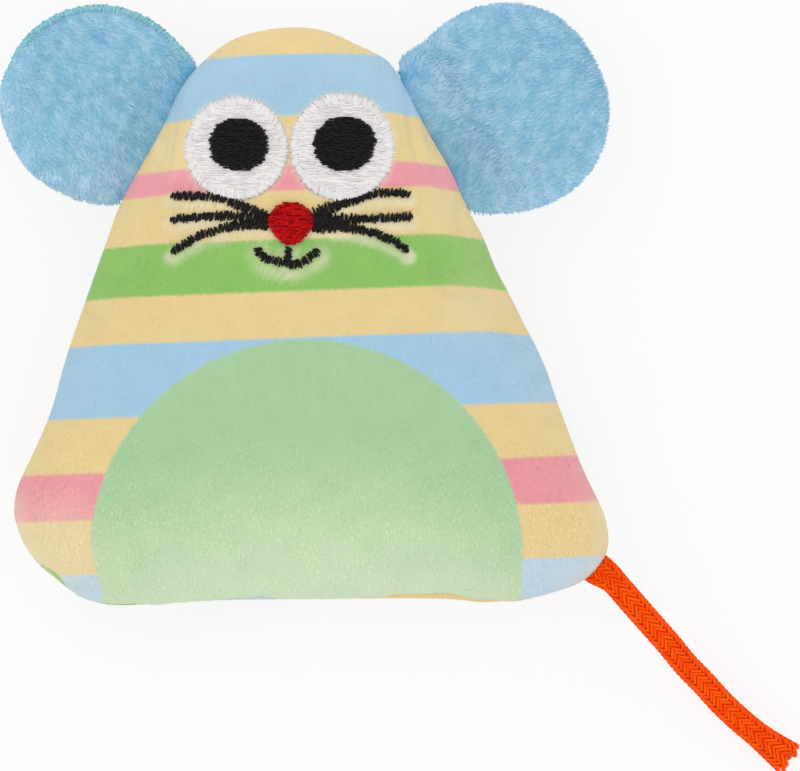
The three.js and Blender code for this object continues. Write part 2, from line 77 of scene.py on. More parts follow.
# Unevenness of the sewn outline: place, width and how far it stands out
UNEVEN = (
    ((7.8, 43.4), 4.0, -0.5),
    ((14.0, 39.8), 3.0, 0.7),
    ((17.0, 34.0), 4.0, -0.6),
    ((-12.3, 43.7), 4.0, 0.4),
    ((-24.5, 29.0), 7.0, -0.8),
    ((21.5, 28.5), 7.0, -1.1),
    ((27.0, 16.5), 5.5, -1.4),
    ((31.5, 6.0), 5.0, -0.8),
    ((39.9, -9.7), 6.0, 0.8),
    ((46.5, -28.0), 7.0, -0.7),
    ((50.2, -41.1), 3.0, 0.6),
    ((42.6, -48.2), 4.0, -1.4),
    ((31.5, -49.6), 7.0, 1.5),
    ((-28.0, -50.0), 8.5, 1.3),
    ((-41.5, -46.3), 4.0, -0.8),
    ((-47.7, -34.0), 6.0, 1.0),
    ((-42.5, -19.0), 7.0, -1.1),
)
# Where the back panel shows beside the front one: place, width and depth
BACK_SHOWS = (
    ((-41.9, -45.4), 2.4, 1.0),
    ((-31.0, -50.0), 3.0, 0.4),
    ((-9.0, -49.9), 4.0, 0.5),
    ((23.0, -49.4), 9.0, 1.2),
)
SEAM_RAISE = 1.6
RAISED_FROM = 0.75
BASE_Y = -49.6
CLOSED_GAP = (-14.0, 22.1)
CLOSING_PITCH = 3.0
CLOSING_RADIUS = 0.16
CLOSING_WRAP = np.radians(np.linspace(-80, 80, 7))
CLOSING_OUT = 0.85
CLOSING_BULGE = 0.1
CLOSING_HALF = 0.55

# Stuffing pressed out by a cloth simulation on a coarse grid
COARSE = 41
FINE = 221
SIM_SCALE = 10.0
SIM_FRAMES = 20
SIM_START = 0.9
CLOTH = {
    "quality": 6,
    "mass": 0.2,
    "tension_stiffness": 25,
    "compression_stiffness": 12,
    "shear_stiffness": 8,
    "bending_stiffness": 1.2,
    "use_pressure": True,
    "uniform_pressure_force": 4.0,
    "shrink_min": -0.015,
    "vertex_group_mass": "seam",
}
MAX_SWELL = 1.6
SEAM_HOLD = ((0.95, 0.6), (0.95, 0.6), (1.0, 0.85))
INNER_STEP = 4
FILL_INSET = 16
FILL_STEP = 4
FILL_BELOW = 1.5

# Cloth of the body: lumps, puckers along the seam, dents below the face, painted light along the head's
# rim, and pile
RIM_FROM = 0.86
LUMP_SIZE = 9.0
LUMP_HEIGHT = 0.35
LUMPS_END = 0.9
PUCKERS = 47
PUCKER_DRIFT = (2.2, 9)
PUCKER_HEIGHT = 0.16
PUCKER_END = 0.985
EYE_DENT = 0.5
EYE_DENT_BAND = (1.12, 0.9)
LINE_DENT = 0.4
LINE_DENT_BAND = (2.0, 0.6)
REST_CLEAR = 0.03
# Painted light: the cloth and its pile are made lighter towards the edge, more so up the head
PAINTED_RIM_LIGHT = 0.7
PAINTED_RIM_LIGHT_FROM = 0.8
PAINTED_RIM_LIGHT_LEVELS = (0, 20)
SKIN_SHADE = 0.35
FRONT_PILE = 70000
BACK_PILE = 50000
PILE_WAY = np.array([0.15, -1.0, 0.0])
PILE_WIDTH = 0.16
PILE_LENGTH = 0.8
PILE_SHARES = (0.5, 0.9)
PILE_SHADES = (0.2, 1.0)
PILE_STAND = (0.0, 0.08)
PILE_SUNK = 0.03
PILE_OFF_EYE = 1.02
PILE_OFF_LINE = 0.9
PILE_OFF_FLOOR = 0.6
PILE_STRAY = 0.35
FLECK = 2.4
FLECK_SHARE = 0.2
FLECK_SIZE = (2.2, 1.6)
FLECK_STRAY = 0.15
FLECK_LEVELS = (-18, -34)
FLECK_EDGE = (0.98, 0.9)

# Ears: place, fold joint, how the plush lies, its painted shadow and light patches, and the rim's
# unevenness
EARS = {
    "left": {
        "centre": (-34.4, 33.0),
        "radius": 16.7,
        "joint": "ear_left_fold",
        "fluff": 0.5,
        "thread_depth": 0.0,
        "heading": (-45, 23),
        "painted_light_and_shade": (((-19.8, 37.8), 1.5, -0.9), ((-36.0, 19.0), 7.0, 0.36), ((-49.0, 33.0), 5.0, 0.15)),
        "uneven": (((-18.5, 39.8), 4.0, 0.8), ((-41.5, 18.5), 6.0, -0.7), ((-48.0, 26.0), 6.0, -0.6)),
    },
    "right": {
        "centre": (33.6, 32.7),
        "radius": 17.5,
        "joint": "ear_right_fold",
        "fluff": 0.9,
        "thread_depth": 1.8,
        "heading": (30, -18),
        "painted_light_and_shade": (((16.3, 36.5), 1.8, -0.7), ((21.0, 34.0), 6.0, 0.4), ((34.0, 20.0), 8.0, 0.22)),
        "uneven": (
            ((17.4, 39.3), 3.2, 1.9),
            ((28.0, 15.5), 4.0, 1.0),
            ((49.0, 41.0), 7.0, -0.6),
            ((46.0, 21.0), 7.0, 0.6),
            ((36.0, 15.3), 6.0, 0.5),
        ),
    },
}
EAR_GRID = 71
EAR_FRONT_PILE = 15000
EAR_BACK_PILE = 9000
EAR_ROOT_DEPTH = 4.5
EAR_EDGE = 0.55
EAR_CROWN = 1.35
EAR_BACK_INSET = 0.5
EAR_LUMP_SIZE = 5.0
EAR_LUMP_HEIGHT = 0.25
EAR_THIN = (0.3, 0.7)
EAR_THIN_BAND = (-2.0, 5.0)
EAR_SHADE = 0.3
PLUSH_FROM = -3.0
PLUSH_LENGTH = (1.5, 2.7)
PLUSH_WIDTH = (0.25, 0.5)
PLUSH_STAND = (0.03, 0.12)
PLUSH_STRAY = 0.14
PLUSH_SWIRL = 11
PLUSH_SWIRL_SIZE = 6.0
PLUSH_TUFT = 1.5
PLUSH_RIM = (0.8, 0.97)
PLUSH_OUTWARD = 1.4
PLUSH_SHORTER = 0.6
PLUSH_SUNK = 0.06
# Rows of a plush fibre: share of its length and of its width
PLUSH_ROWS = ((0.0, 1.0), (0.4, 0.85), (0.75, 0.55), (1.0, 0.0))
# Painted shadow on the plush next to the fold, where the body's edge lies over the ear
ROOT_SHADOW = 0.2
ROOT_SHADOW_BAND = (2.0, 0.3)
ROOT_STAND = 0.04
ROOT_STAND_BAND = (13.0, 2.0)
OVERLOCK_PITCH = 0.2
OVERLOCK_STRAY = 0.12
OVERLOCK_WRAP = np.radians(np.linspace(-105, 105, 9))
OVERLOCK_HALF = 0.62
OVERLOCK_LEAN = (-0.04, 0.1)
OVERLOCK_BITE = (-0.4, 1.4)
OVERLOCK_BITE_FROM = 1.3
OVERLOCK_UNEVEN = 0.08
OVERLOCK_RADIUS = 0.1
OVERLOCK_CORE = 0.5
OVERLOCK_CORE_DEPTH = 0.65
OVERLOCK_CORE_STEPS = 240

# Tail: a braided cord from its pivot outwards
TAIL_OUT_DEGREES = -34.0
TAIL_RADIUS = 2.25
TAIL_SEWN_IN = (4, 1.5)
TAIL_PIVOT_GAP = 0.3
TAIL_PATH_STEP = 1.5
TAIL_ROUTE = (
    (0, 0, 0),
    (1.6, -1.6, 0),
    (4.2, -4.6, -0.5),
    (7.2, -8, -1.9),
    (10.1, -11.3, -4.1),
    (12.9, -14.7, -6.7),
    (16.1, -18, -9.2),
    (19.1, -21.3, -11),
    (22.8, -24.7, -12),
    (27, -28.1, -12.3),
    (30.6, -30.8, -12.3),
)
TAIL_FLARE = 0.45
TAIL_FLARE_LENGTH = 8
TAIL_PRESSED = (8.5, 4.0)
TAIL_FLATTENED = 0.42
TAIL_WIDENED = 0.28
BRAID_STRANDS = 10
BRAID_PITCH = 19.0
BRAID_YARNS = (-0.2, 0.2)
BRAID_WAVE = 0.33
BRAID_FLOAT = 1.5
BRAID_MIDDLE = TAIL_RADIUS - BRAID_WAVE - 0.28
BRAID_STEP = 0.3
BRAID_CUT = (-1.3, 0.4)
YARN_RADIUS = 0.225
YARN_CUT = (-0.4, 0.4)
YARN_END = (0.9, 0.65, 0.2)
CORE_SHORT = 1.1
CORE_STEPS = 120
CORE_SIDES = 17
CORE_PROUD = 0.02
CORE_END = 0.05
CORE_SHADE = 0.3
TUFTS = 13
TUFT_FIBRES = 12
TUFT_STEPS = np.linspace(0, 1, 5)
TUFT_TAPER = (0.12, 0.12, 0.11, 0.09, 0.03)
TUFT_REACH = 0.9
TUFT_SPREAD = (0.4, 0.9)
TUFT_CUT = (-0.6, 0.2)
TUFT_DEPTH = (1.6, 2.4)
TUFT_UNEVEN = (0, 0.5)
TUFT_TURN = 0.3
TUFT_STRAY = 0.1

# Embroidered face
EYES = {
    "left": {"centre": (-11.3, 25.5), "size": (17.1, 17.2), "pupil": ((-10.9, 26.2), (9.6, 8.6), 2.3)},
    "right": {"centre": (6.3, 25.7), "size": (17.2, 17.9), "pupil": ((6.7, 26.3), (10.0, 9.0), 2.1)},
}
NOSE = (-2.25, 13.0)
NOSE_SIZE = (7.3, 7.1)
NOSE_POINT = 0.3
WHISKERS = {
    "left_upper": ((-3.7, 0.9), (-6.5, 2.3), (-9.6, 3.5), (-12.4, 4.4), (-19.8, 4.7)),
    "left_middle": ((-3.7, 0.4), (-7.6, 0.9), (-11.4, 1.3), (-20, 0.7)),
    "left_lower": ((-3.7, -0.2), (-7.5, -0.2), (-11, -0.7), (-15.5, -2.3), (-19.8, -4.7)),
    "right_upper": ((3.7, 1), (6.9, 2.7), (11.6, 4.2), (14.9, 5.1), (19.8, 5)),
    "right_middle": ((3.7, 0.4), (11, 0.7), (20.3, 1.2)),
    "right_lower": ((3.7, -0.2), (7, -0.4), (10, -0.7), (14.2, -1.7), (18, -3.4), (19.5, -4.7)),
}
MOUTH = ((-5.6, -4.1), (-4.3, -5.7), (-2.2, -6.3), (-0.5, -6.7), (1, -6.7), (2.3, -6.2), (4.7, -4.5))
MOUTH_STEM = ((-0.4, -4.1), (-0.4, -6.4))
LINE_WIDTH = 1.35
LEFT_ROOT_WIDTH = 1.9
RIGHT_ROOT_WIDTH = 2.6
MOUTH_ROOT_WIDTH = 1.3
STEM_WIDTH = 1.2
STITCH_STEPS = np.linspace(0, 1, 7)
UNDERLAY_RINGS = np.array([0.02, 0.3, 0.6, 0.85, 0.96, 1.0])
UNDERLAY_SIDES = 48
UNDERLAY_SHADE = 0.4
EYE_RING_THREADS = 330
EYE_RING_DEPTH = (1.2, 2.3)
EYE_RING_OVER = (-0.15, 0.3)
SATIN_PITCH = 0.24
SATIN_REACH = (0.6, 1.3)
SATIN_LEAN = (-0.05, 0.3)
SATIN_STRAY = 0.07
SATIN_END = (1.06, 0.95)

# How the print droops at the head's sides, where its dye is rubbed off round the embroidery, and where
# painted sheen pales it along the edge
DROOP = 0.8
DROOP_SIDEWAYS = 0.012
DROOP_FROM = 0.8
DROOP_BAND = 0.2
DROOP_LEVELS = (-22, 0)
EDGE_SHEEN = 0.05
EDGE_SHEEN_SIDEWAYS = 0.0008
EDGE_SHEEN_FROM = 0.75
FOOT_SHEEN = 0.3
FOOT_SHEEN_FROM = 0.92
FOOT_LEVELS = (-30, -36)
FOOT_SIDES = (40, 49)
# Painted light: pale spots at the sides of the head and body and at the left foot; place, width and
# strength
PAINTED_LIGHT_SPOTS = (
    ((-41.0, -41.0), 8.0, 0.38),
    ((-22.5, 25.5), 4.0, 0.22),
    ((27.5, -1.0), 5.0, 0.2),
    ((22.5, 14.5), 4.0, 0.1),
)
HALO_SHIFT = (0.0, 0.9, 0.0)
WHISKER_HALO = (1.9, 0.7)
MOUTH_HALO = (2.5, 1.0)
EYE_HALO = (1.1, 1.03)
MOTTLE_MIDDLE = 0.75
MOTTLE_SPREAD = 0.2
MOTTLE_SIZE = 2.0
LINE_WORN = 0.7
EYE_WORN = 0.5

# Camera over the middle of the photograph, floor and lamps
IMAGE_WIDTH = 800
PIXELS_PER_MM = 6.0
CAMERA_HEIGHT = 4000.0
CAMERA_END = 20.0
SENSOR = 36.0
VIEW_CENTRE = (15.92, -13.92)
SHARP_Z = 22.0
FLOOR = 3.0
FLOOR_Z = -0.0002
FLOOR_WHITE = (0.95, 0.95, 0.95, 1.0)
FLOOR_GLOW = 0.8
SKY_STRENGTH = 0.95
LAMPS = {"key": ((-0.4, 0.2, 1.1), 1.0, 1.12), "fill": ((0.25, -0.3, 1.0), 0.9, 0.4)}


# Small helpers


def rgb(red, green, blue):
    """A shader colour from the red, green and blue of a screen colour."""
    share = np.array([red, green, blue]) / 255
    linear = np.where(share <= 0.04045, share / 12.92, ((share + 0.055) / 1.055) ** 2.4)
    return (*linear.tolist(), 1.0)


def put(name, data):
    """Puts an object with the given data into the scene."""
    made = bpy.data.objects.new(name, data)
    SCENE.collection.objects.link(made)
    return made


def in_frame(points):
    """Points of the drawing in the frame's metres."""
    return (points + DRAWING_SHIFT) * MM


def unit(vectors):
    return vectors / np.maximum(np.linalg.norm(vectors, axis=-1, keepdims=True), 1e-9)


def smooth(low, high, value):
    share = np.clip((value - low) / (high - low), 0, 1)
    return share * share * (3 - 2 * share)


def ways_at(turn):
    """Plan directions at the given angles."""
    return np.stack([np.cos(turn), np.sin(turn)], -1)


def raised(flat, level):
    """Plan places with their level as a third measure."""
    return np.concatenate([flat, np.broadcast_to(level, flat.shape[:-1])[..., None]], -1)


def combed(ways, normals):
    """Ways laid into the surface that has these normals."""
    return unit(ways - normals * (ways * normals).sum(1, keepdims=True))


def lumps(points, size, seed, waves=14):
    """A smooth random field of about -1 to 1 with swellings of the given size."""
    draw = np.random.default_rng(seed)
    total = 0
    for _ in range(waves):
        way = unit(draw.normal(size=points.shape[-1])) * 2 * math.pi / (size * draw.uniform(1.4, 2.8))
        total = total + np.sin(points @ way + draw.uniform(0, 2 * math.pi))
    return total / math.sqrt(waves)


def bumps(places, spots):
    """The sum of soft bumps at plan places; each spot has a place, a width and a height."""
    total = 0
    for spot, width, height in spots:
        total = total + height * np.exp(-((places - spot) ** 2).sum(-1) / width**2)
    return total


def between(places, known, rows):
    """Rows at places between known ones."""
    return np.stack([np.interp(places, known, column) for column in rows.T], -1)


def cubic(a, b, c, d, t):
    """The place at share t from b to c on a smooth curve that comes from a and goes on to d."""
    return 0.5 * (2 * b + (c - a) * t + (2 * a - 5 * b + 4 * c - d) * t**2 + (3 * b - a - 3 * c + d) * t**3)


def curve_through(points, step, samples=24):
    """Points a step apart on a smooth curve through the given ones."""
    given = np.array(points, float)
    padded = np.vstack([2 * given[0] - given[1], given, 2 * given[-1] - given[-2]])
    shares = np.linspace(0, 1, samples, endpoint=False)
    spans = zip(padded, padded[1:], padded[2:], padded[3:])
    dense = np.array([cubic(*span, share) for span in spans for share in shares] + [given[-1]])
    along = np.concatenate([[0], np.cumsum(np.linalg.norm(np.diff(dense, axis=0), axis=1))])
    count = max(2, round(along[-1] / step) + 1)
    return between(np.linspace(0, along[-1], count), along, dense)


class Shape:
    """Collects corners and faces of one mesh, with values kept for each corner."""

    def __init__(self):
        self.corners = []
        self.faces = {4: [], 3: []}
        self.slots = {4: [], 3: []}
        self.values = {}
        self.count = 0

    def add(self, corners, quads=(), triangles=(), slot=0, **values):
        """Adds corners and faces; a value for a run of corners is kept for each of them."""
        corners = np.asarray(corners, float).reshape(-1, 3)
        for sides, faces in ((4, quads), (3, triangles)):
            if len(faces):
                faces = np.asarray(faces).reshape(-1, sides)
                self.faces[sides].append(faces + self.count)
                self.slots[sides].append(np.full(len(faces), slot, np.int32))
        for name, value in values.items():
            value = np.asarray(value, float)
            self.values.setdefault(name, []).append(np.repeat(value, len(corners) // len(value), axis=0))
        self.corners.append(corners)
        self.count += len(corners)

    def build(self, name, *materials):
        mesh = bpy.data.meshes.new(name)
        faces = [face for part in self.faces[4] + self.faces[3] for face in part.tolist()]
        mesh.from_pydata(in_frame(np.concatenate(self.corners)).tolist(), [], faces, shade_flat=False)
        mesh.polygons.foreach_set("material_index", np.concatenate(self.slots[4] + self.slots[3]))
        for material in materials:
            mesh.materials.append(material)
        for key, parts in self.values.items():
            data = np.concatenate(parts)
            kind, field = ("FLOAT", "value") if data.ndim == 1 else ("FLOAT_VECTOR", "vector")
            stored = mesh.attributes.new(key, kind, "POINT")
            stored.data.foreach_set(field, data.astype(np.float32).ravel())
        return put(name, mesh)

    def dress(self, name, node, slot, material, body="torso"):
        """Builds a piece that rides on one body in place of a node."""
        made = self.build(name, material)
        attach(made, body)
        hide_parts(node)
        return made


def grid_quads(rows, columns, up=1, closed=False):
    index = np.arange(rows * columns).reshape(rows, columns)
    if closed:
        index = np.concatenate([index, index[:, :1]], 1)
    quads = np.stack([index[:-1, :-1], index[:-1, 1:], index[1:, 1:], index[1:, :-1]], -1).reshape(-1, 4)
    return quads if up > 0 else quads[:, ::-1]


def grid_rim(count):
    index = np.arange(count * count).reshape(count, count)
    return np.concatenate([index[0, :-1], index[:-1, -1], index[-1, :0:-1], index[:0:-1, 0]])


def closed_skin(outer, inner, up=1):
    """Corners, quads and triangles of a closed skin between two square grids; the inner may be coarser."""
    count, inner_count = len(outer), len(inner)
    many = (count - 1) // (inner_count - 1)
    rim, inner_rim = grid_rim(count), grid_rim(inner_count) + count**2
    nearest = (np.arange(len(rim)) + many // 2) // many % len(inner_rim)
    middle = (np.arange(1, len(inner_rim) + 1) * many - many // 2) % len(rim)
    band = np.concatenate([
        np.stack([rim, inner_rim[nearest], np.roll(rim, -1)], 1),
        np.stack([rim[middle], inner_rim, np.roll(inner_rim, -1)], 1),
    ])
    quads = [grid_quads(count, count, up), grid_quads(inner_count, inner_count, -up) + count**2]
    corners = np.concatenate([outer.reshape(-1, 3), inner.reshape(-1, 3)])
    return corners, np.concatenate(quads), band if up > 0 else band[:, ::-1]


def grid_normals(points, up=1):
    return unit(np.cross(np.gradient(points, axis=1), np.gradient(points, axis=0))) * up


def tubes(shape, lines, sides_up, radii, sides=6, slot=0, **values):
    """Adds one tapered tube for each line: lines is tubes by points by 3, radii is tubes by points."""
    lines = np.asarray(lines, float)
    count, points = lines.shape[:2]
    along = unit(np.gradient(lines, axis=1))
    across = unit(np.cross(along, sides_up))
    rise = np.cross(across, along)
    turn = np.arange(sides) * 2 * math.pi / sides
    ring = across[:, :, None, :] * np.cos(turn)[:, None] + rise[:, :, None, :] * np.sin(turn)[:, None]
    corners = lines[:, :, None, :] + ring * np.broadcast_to(radii, (count, points))[..., None, None]
    offsets = np.arange(count)[:, None, None] * points * sides
    shape.add(corners, grid_quads(points, sides, closed=True) + offsets, slot=slot, **values)


def fibres(shape, roots, normals, flow, length, width, stand, shade):
    """Adds flat tapered fibres that rise from their roots and bend over along the flow."""
    length, stand = length[:, None], stand[:, None]
    across = unit(np.cross(flow, normals)) * width[:, None] / 2
    corners = []
    for step, taper in PLUSH_ROWS:
        lift = stand * (1.9 * step - 0.9 * step**2) - PLUSH_SUNK
        reach = np.sqrt(np.maximum(1 - stand**2, 0)) * (0.75 * step + 0.25 * step**2)
        row = roots + length * (normals * lift + flow * reach)
        corners.extend([row - across * taper, row + across * taper] if taper else [row])
    corners = np.stack(corners, 1)
    offsets = np.arange(len(roots))[:, None] * corners.shape[1]
    quads = np.concatenate([offsets + np.array(quad) for quad in ((0, 1, 3, 2), (2, 3, 5, 4))])
    shape.add(corners, quads, offsets + np.array((4, 5, 6)), shade=shade)


def short_pile(shape, roots, normals, flow, length, width, stand, printed, **values):
    """Adds short fibres that lie along the flow, each one triangle from its root to its tip."""
    across = unit(np.cross(flow, normals)) * width[:, None] / 2
    base = roots - normals * PILE_SUNK
    tips = roots + length[:, None] * (flow + normals * stand[:, None])
    corners = np.stack([base - across, base + across, tips], 1)
    places = printed[:, None] + (corners - roots[:, None])
    shape.add(corners, triangles=np.arange(3 * len(roots)), print=places.reshape(-1, 3), **values)


def scatter(points, quads, count):
    """Random places on a grid, even by area: a function that takes a grid's values there."""
    triangles = np.concatenate([quads[:, [0, 1, 2]], quads[:, [0, 2, 3]]])
    a, b, c = (points.reshape(-1, 3)[triangles[:, k]] for k in range(3))
    area = np.linalg.norm(np.cross(b - a, c - a), axis=1)
    chosen = triangles[RANDOM.choice(len(triangles), count, p=area / area.sum())]
    first = np.sqrt(RANDOM.random(count))
    second = RANDOM.random(count)
    weights = np.stack([1 - first, first * (1 - second), first * second], 1)

    def at(grid):
        values = grid.reshape(-1, *grid.shape[2:])
        return (values[chosen] * weights.reshape(count, 3, *[1] * (values.ndim - 1))).sum(1)

    return at


# Materials


class Nodes:
    """Adds nodes to a node tree."""

    def __init__(self, tree):
        self.tree = tree

    def give(self, socket, value):
        if isinstance(value, bpy.types.NodeSocket):
            self.tree.links.new(value, socket)
        else:
            socket.default_value = value

    def node(self, kind, inputs=None, output=0, **settings):
        """Adds a node, gives its inputs sockets or plain values, and returns one of its outputs."""
        made = self.tree.nodes.new(kind)
        for key, value in settings.items():
            setattr(made, key, value)
        for key, value in (inputs or {}).items():
            self.give(made.inputs[key], value)
        return made.outputs[output]


class Finish(Nodes):
    """A node material around one Principled shader."""

    def __init__(self, name, roughness, specular, sheen=0.0, sheen_roughness=0.4):
        self.material = bpy.data.materials.new(name)
        self.material.use_nodes = True
        super().__init__(self.material.node_tree)
        self.shader = self.tree.nodes["Principled BSDF"].inputs
        self.shader["Roughness"].default_value = roughness
        self.shader["Specular IOR Level"].default_value = specular
        self.shader["Sheen Weight"].default_value = sheen
        self.shader["Sheen Roughness"].default_value = sheen_roughness

    def math(self, operation, first, second, clamp=False):
        return self.node("ShaderNodeMath", {0: first, 1: second}, operation=operation, use_clamp=clamp)

    def total(self, first, *others, clamp=False):
        """The sum of values, each times its weight."""
        added = self.math("MULTIPLY", *first)
        for term in others:
            added = self.math("ADD", added, self.math("MULTIPLY", *term), clamp)
        return added

    def step(self, value, low, high, start=1.0, end=0.0):
        inputs = {"Value": value, "From Min": low, "From Max": high, "To Min": start, "To Max": end}
        return self.node("ShaderNodeMapRange", inputs, interpolation_type="SMOOTHSTEP")

    def mix(self, share, first, second, blend="MIX"):
        colours = {0: share, 6: first, 7: second}
        return self.node("ShaderNodeMix", colours, 2, data_type="RGBA", blend_type=blend)

    def attribute(self, name, output="Fac"):
        return self.node("ShaderNodeAttribute", output=output, attribute_name=name)

    def place(self):
        """The place on the object, in millimetres."""
        where = self.node("ShaderNodeTexCoord", output="Object")
        return self.node("ShaderNodeVectorMath", {0: where, "Scale": 1 / MM}, operation="SCALE")

    def noise(self, where, scale, detail=2.0, roughness=0.5):
        inputs = {"Vector": where, "Scale": scale, "Detail": detail, "Roughness": roughness}
        return self.node("ShaderNodeTexNoise", inputs, "Fac")

    def bump(self, height, strength, distance):
        inputs = {"Strength": strength, "Distance": distance * MM, "Height": height}
        self.give(self.shader["Normal"], self.node("ShaderNodeBump", inputs))

    def colour(self, value):
        self.give(self.shader["Base Color"], value)
        return self.material


YELLOW = rgb(229, 205, 147)
BLUE = rgb(161, 199, 222)
PINK = rgb(236, 155, 165)
GREEN = rgb(141, 192, 101)
LOW_PINK = rgb(232, 152, 160)
# Paler than the blue above it: partly its print, partly painted sheen towards the bottom
LOW_BLUE_AND_SHEEN = rgb(187, 211, 228)
# Cream of undyed cloth round the embroidery, also used as painted sheen along the body's edge
UNDYED_AND_SHEEN = rgb(237, 229, 198)
BELLY_GREEN = rgb(166, 202, 158)
# Paler than the belly green: partly its print, partly painted sheen where the belly turns under
BELLY_PALE_AND_SHEEN = rgb(203, 223, 186)
FRONT_TILT = 0.037
BACK_TILT = 0.3
STRIPE_SOFT = 0.35
STRIPE_WANDER = 0.5
# Stripes below the yellow top: each one's upper edge and colour
FRONT_STRIPES = (
    (41.7, BLUE),
    (31.2, YELLOW),
    (22.8, PINK),
    (18.6, YELLOW),
    (10.5, GREEN),
    (1.85, YELLOW),
    (-5.95, BLUE),
    (-18.1, YELLOW),
    (-27.25, LOW_PINK),
    (-35.05, YELLOW),
    (-44.15, LOW_BLUE_AND_SHEEN),
)
BACK_STRIPES = (
    (46.0, PINK),
    (42.0, YELLOW),
    (33.5, GREEN),
    (25.0, YELLOW),
    (16.5, BLUE),
    (4.5, YELLOW),
    (-4.5, PINK),
    (-12.5, YELLOW),
    (-21.5, BLUE),
    (-30.5, GREEN),
    (-43.0, LOW_BLUE_AND_SHEEN),
    (-50.0, YELLOW),
)
BELLY_CENTRE = (0.3, -42.4)
BELLY_RADIUS = 36.1
BELLY_TUCK = 1.035
BELLY_LEAN = 0.9
BELLY_FOOT = (BELLY_CENTRE[1] - 8, BELLY_CENTRE[1] + 4)
BELLY_PALING = (-48.0, -20.0)
BELLY_CLOUDS = 9.0
BELLY_SIDES = 0.008


def printed_velboa(name, stripes, tilt, belly):
    """Short-pile cloth with printed stripes; its places come from the value kept as print."""
    finish = Finish(name, 0.95, 0.08, sheen=0.25, sheen_roughness=0.45)
    where = finish.attribute("print", "Vector")
    x = finish.node("ShaderNodeSeparateXYZ", {0: where}, "X")
    y = finish.node("ShaderNodeSeparateXYZ", {0: where}, "Y")
    grain = finish.noise(where, 1.6, 3.0)
    wander = finish.math("MULTIPLY", finish.math("SUBTRACT", grain, 0.5), STRIPE_WANDER)
    level = finish.math("ADD", y, wander)
    tilted = finish.math("SUBTRACT", level, finish.math("MULTIPLY", x, tilt))
    colour = YELLOW
    for edge, below in stripes:
        colour = finish.mix(finish.step(tilted, edge - STRIPE_SOFT, edge + STRIPE_SOFT), colour, below)
    if belly:
        across = finish.math("SUBTRACT", x, BELLY_CENTRE[0])
        across = finish.math("SUBTRACT", across, finish.step(level, *BELLY_FOOT, BELLY_LEAN, 0.0))
        across = finish.math("MULTIPLY", across, finish.step(level, *BELLY_FOOT, BELLY_TUCK, 1.0))
        above = finish.math("MAXIMUM", finish.math("SUBTRACT", level, BELLY_CENTRE[1]), 0.0)
        sideways = finish.math("POWER", across, 2.0)
        squares = finish.math("ADD", sideways, finish.math("POWER", above, 2.0))
        away = finish.math("ADD", finish.math("SQRT", squares, 0.0), wander)
        inside = finish.step(away, BELLY_RADIUS - STRIPE_SOFT, BELLY_RADIUS + STRIPE_SOFT)
        cloud = finish.math("SUBTRACT", finish.noise(where, 0.12, 3.0), 0.5)
        lift = finish.total((cloud, BELLY_CLOUDS), (sideways, BELLY_SIDES))
        # The belly pales towards the bottom, unevenly: partly its print, partly painted sheen
        paling = finish.step(finish.math("ADD", level, lift), *BELLY_PALING)
        colour = finish.mix(inside, colour, finish.mix(paling, BELLY_GREEN, BELLY_PALE_AND_SHEEN))
    # Paler towards the cream where the halo value says: undyed round the embroidery, painted sheen along
    # the edge and feet
    colour = finish.mix(finish.attribute("halo"), colour, UNDYED_AND_SHEEN)
    speck = finish.noise(finish.place(), 3.2, roughness=0.7)
    patchy = finish.noise(where, 0.22)
    tone = finish.total((speck, 0.2), (patchy, 0.12), (finish.attribute("shade"), 0.1))
    finish.bump(speck, 0.3, 0.15)
    return finish.colour(finish.mix(1.0, colour, finish.math("ADD", tone, 0.8), "MULTIPLY"))


def plush(name, dark, light):
    """Longer plush whose fibres vary in tone by the value kept as shade."""
    finish = Finish(name, 0.85, 0.15, sheen=0.3)
    where = finish.place()
    cloud = finish.math("SUBTRACT", finish.noise(where, 0.35, 3.0), 0.2)
    tone = finish.total((finish.attribute("shade"), 0.75), (cloud, 0.4), clamp=True)
    finish.bump(finish.noise(where, 2.5), 0.3, 0.2)
    return finish.colour(finish.mix(tone, dark, light))


def thread(name, dark, light, roughness=0.6, specular=0.2):
    """Twisted embroidery or sewing thread, fibrous at a fine scale."""
    finish = Finish(name, roughness, specular)
    streak = finish.noise(finish.place(), 4.5, roughness=0.6)
    tone = finish.total((finish.attribute("shade"), 0.6), (streak, 0.5), clamp=True)
    finish.bump(streak, 0.35, 0.12)
    return finish.colour(finish.mix(tone, dark, light))


def cloth(name, dark, light, scale):
    """Plain matt fabric or fibre with a mottled colour, for the pieces inside."""
    finish = Finish(name, 0.95, 0.15, sheen=0.2)
    mottle = finish.noise(finish.place(), scale, 4.0, 0.6)
    finish.bump(mottle, 0.5, 0.4)
    return finish.colour(finish.mix(mottle, dark, light))


front_print = printed_velboa("printed_velboa_front", FRONT_STRIPES, FRONT_TILT, True)
back_print = printed_velboa("printed_velboa_back", BACK_STRIPES, BACK_TILT, False)
ear_plush = plush("blue_plush", rgb(107, 177, 212), rgb(184, 217, 238))
overlock_thread = thread("teal_overlock", rgb(112, 188, 204), rgb(164, 216, 228))
white_thread = thread("white_embroidery", rgb(213, 209, 211), rgb(249, 246, 244))
black_thread = thread("black_embroidery", rgb(4, 3, 3), rgb(30, 27, 26), 0.45, 0.16)
# Painted highlight and shade: the red's light and dark ends are spread wide to stand for glints and shade
# on the nose, besides each stitch's own random tone
red_thread = thread("red_embroidery", rgb(104, 0, 4), rgb(220, 14, 22), 0.5, 0.1)
sewing_thread = thread("sewing_thread", rgb(222, 206, 170), rgb(244, 232, 204))
orange_yarn = thread("orange_yarn", rgb(250, 61, 0), rgb(255, 106, 6), 0.65, 0.08)
frayed_yarn = thread("frayed_yarn", rgb(248, 82, 10), rgb(255, 128, 62), 0.7, 0.08)


# Camera first

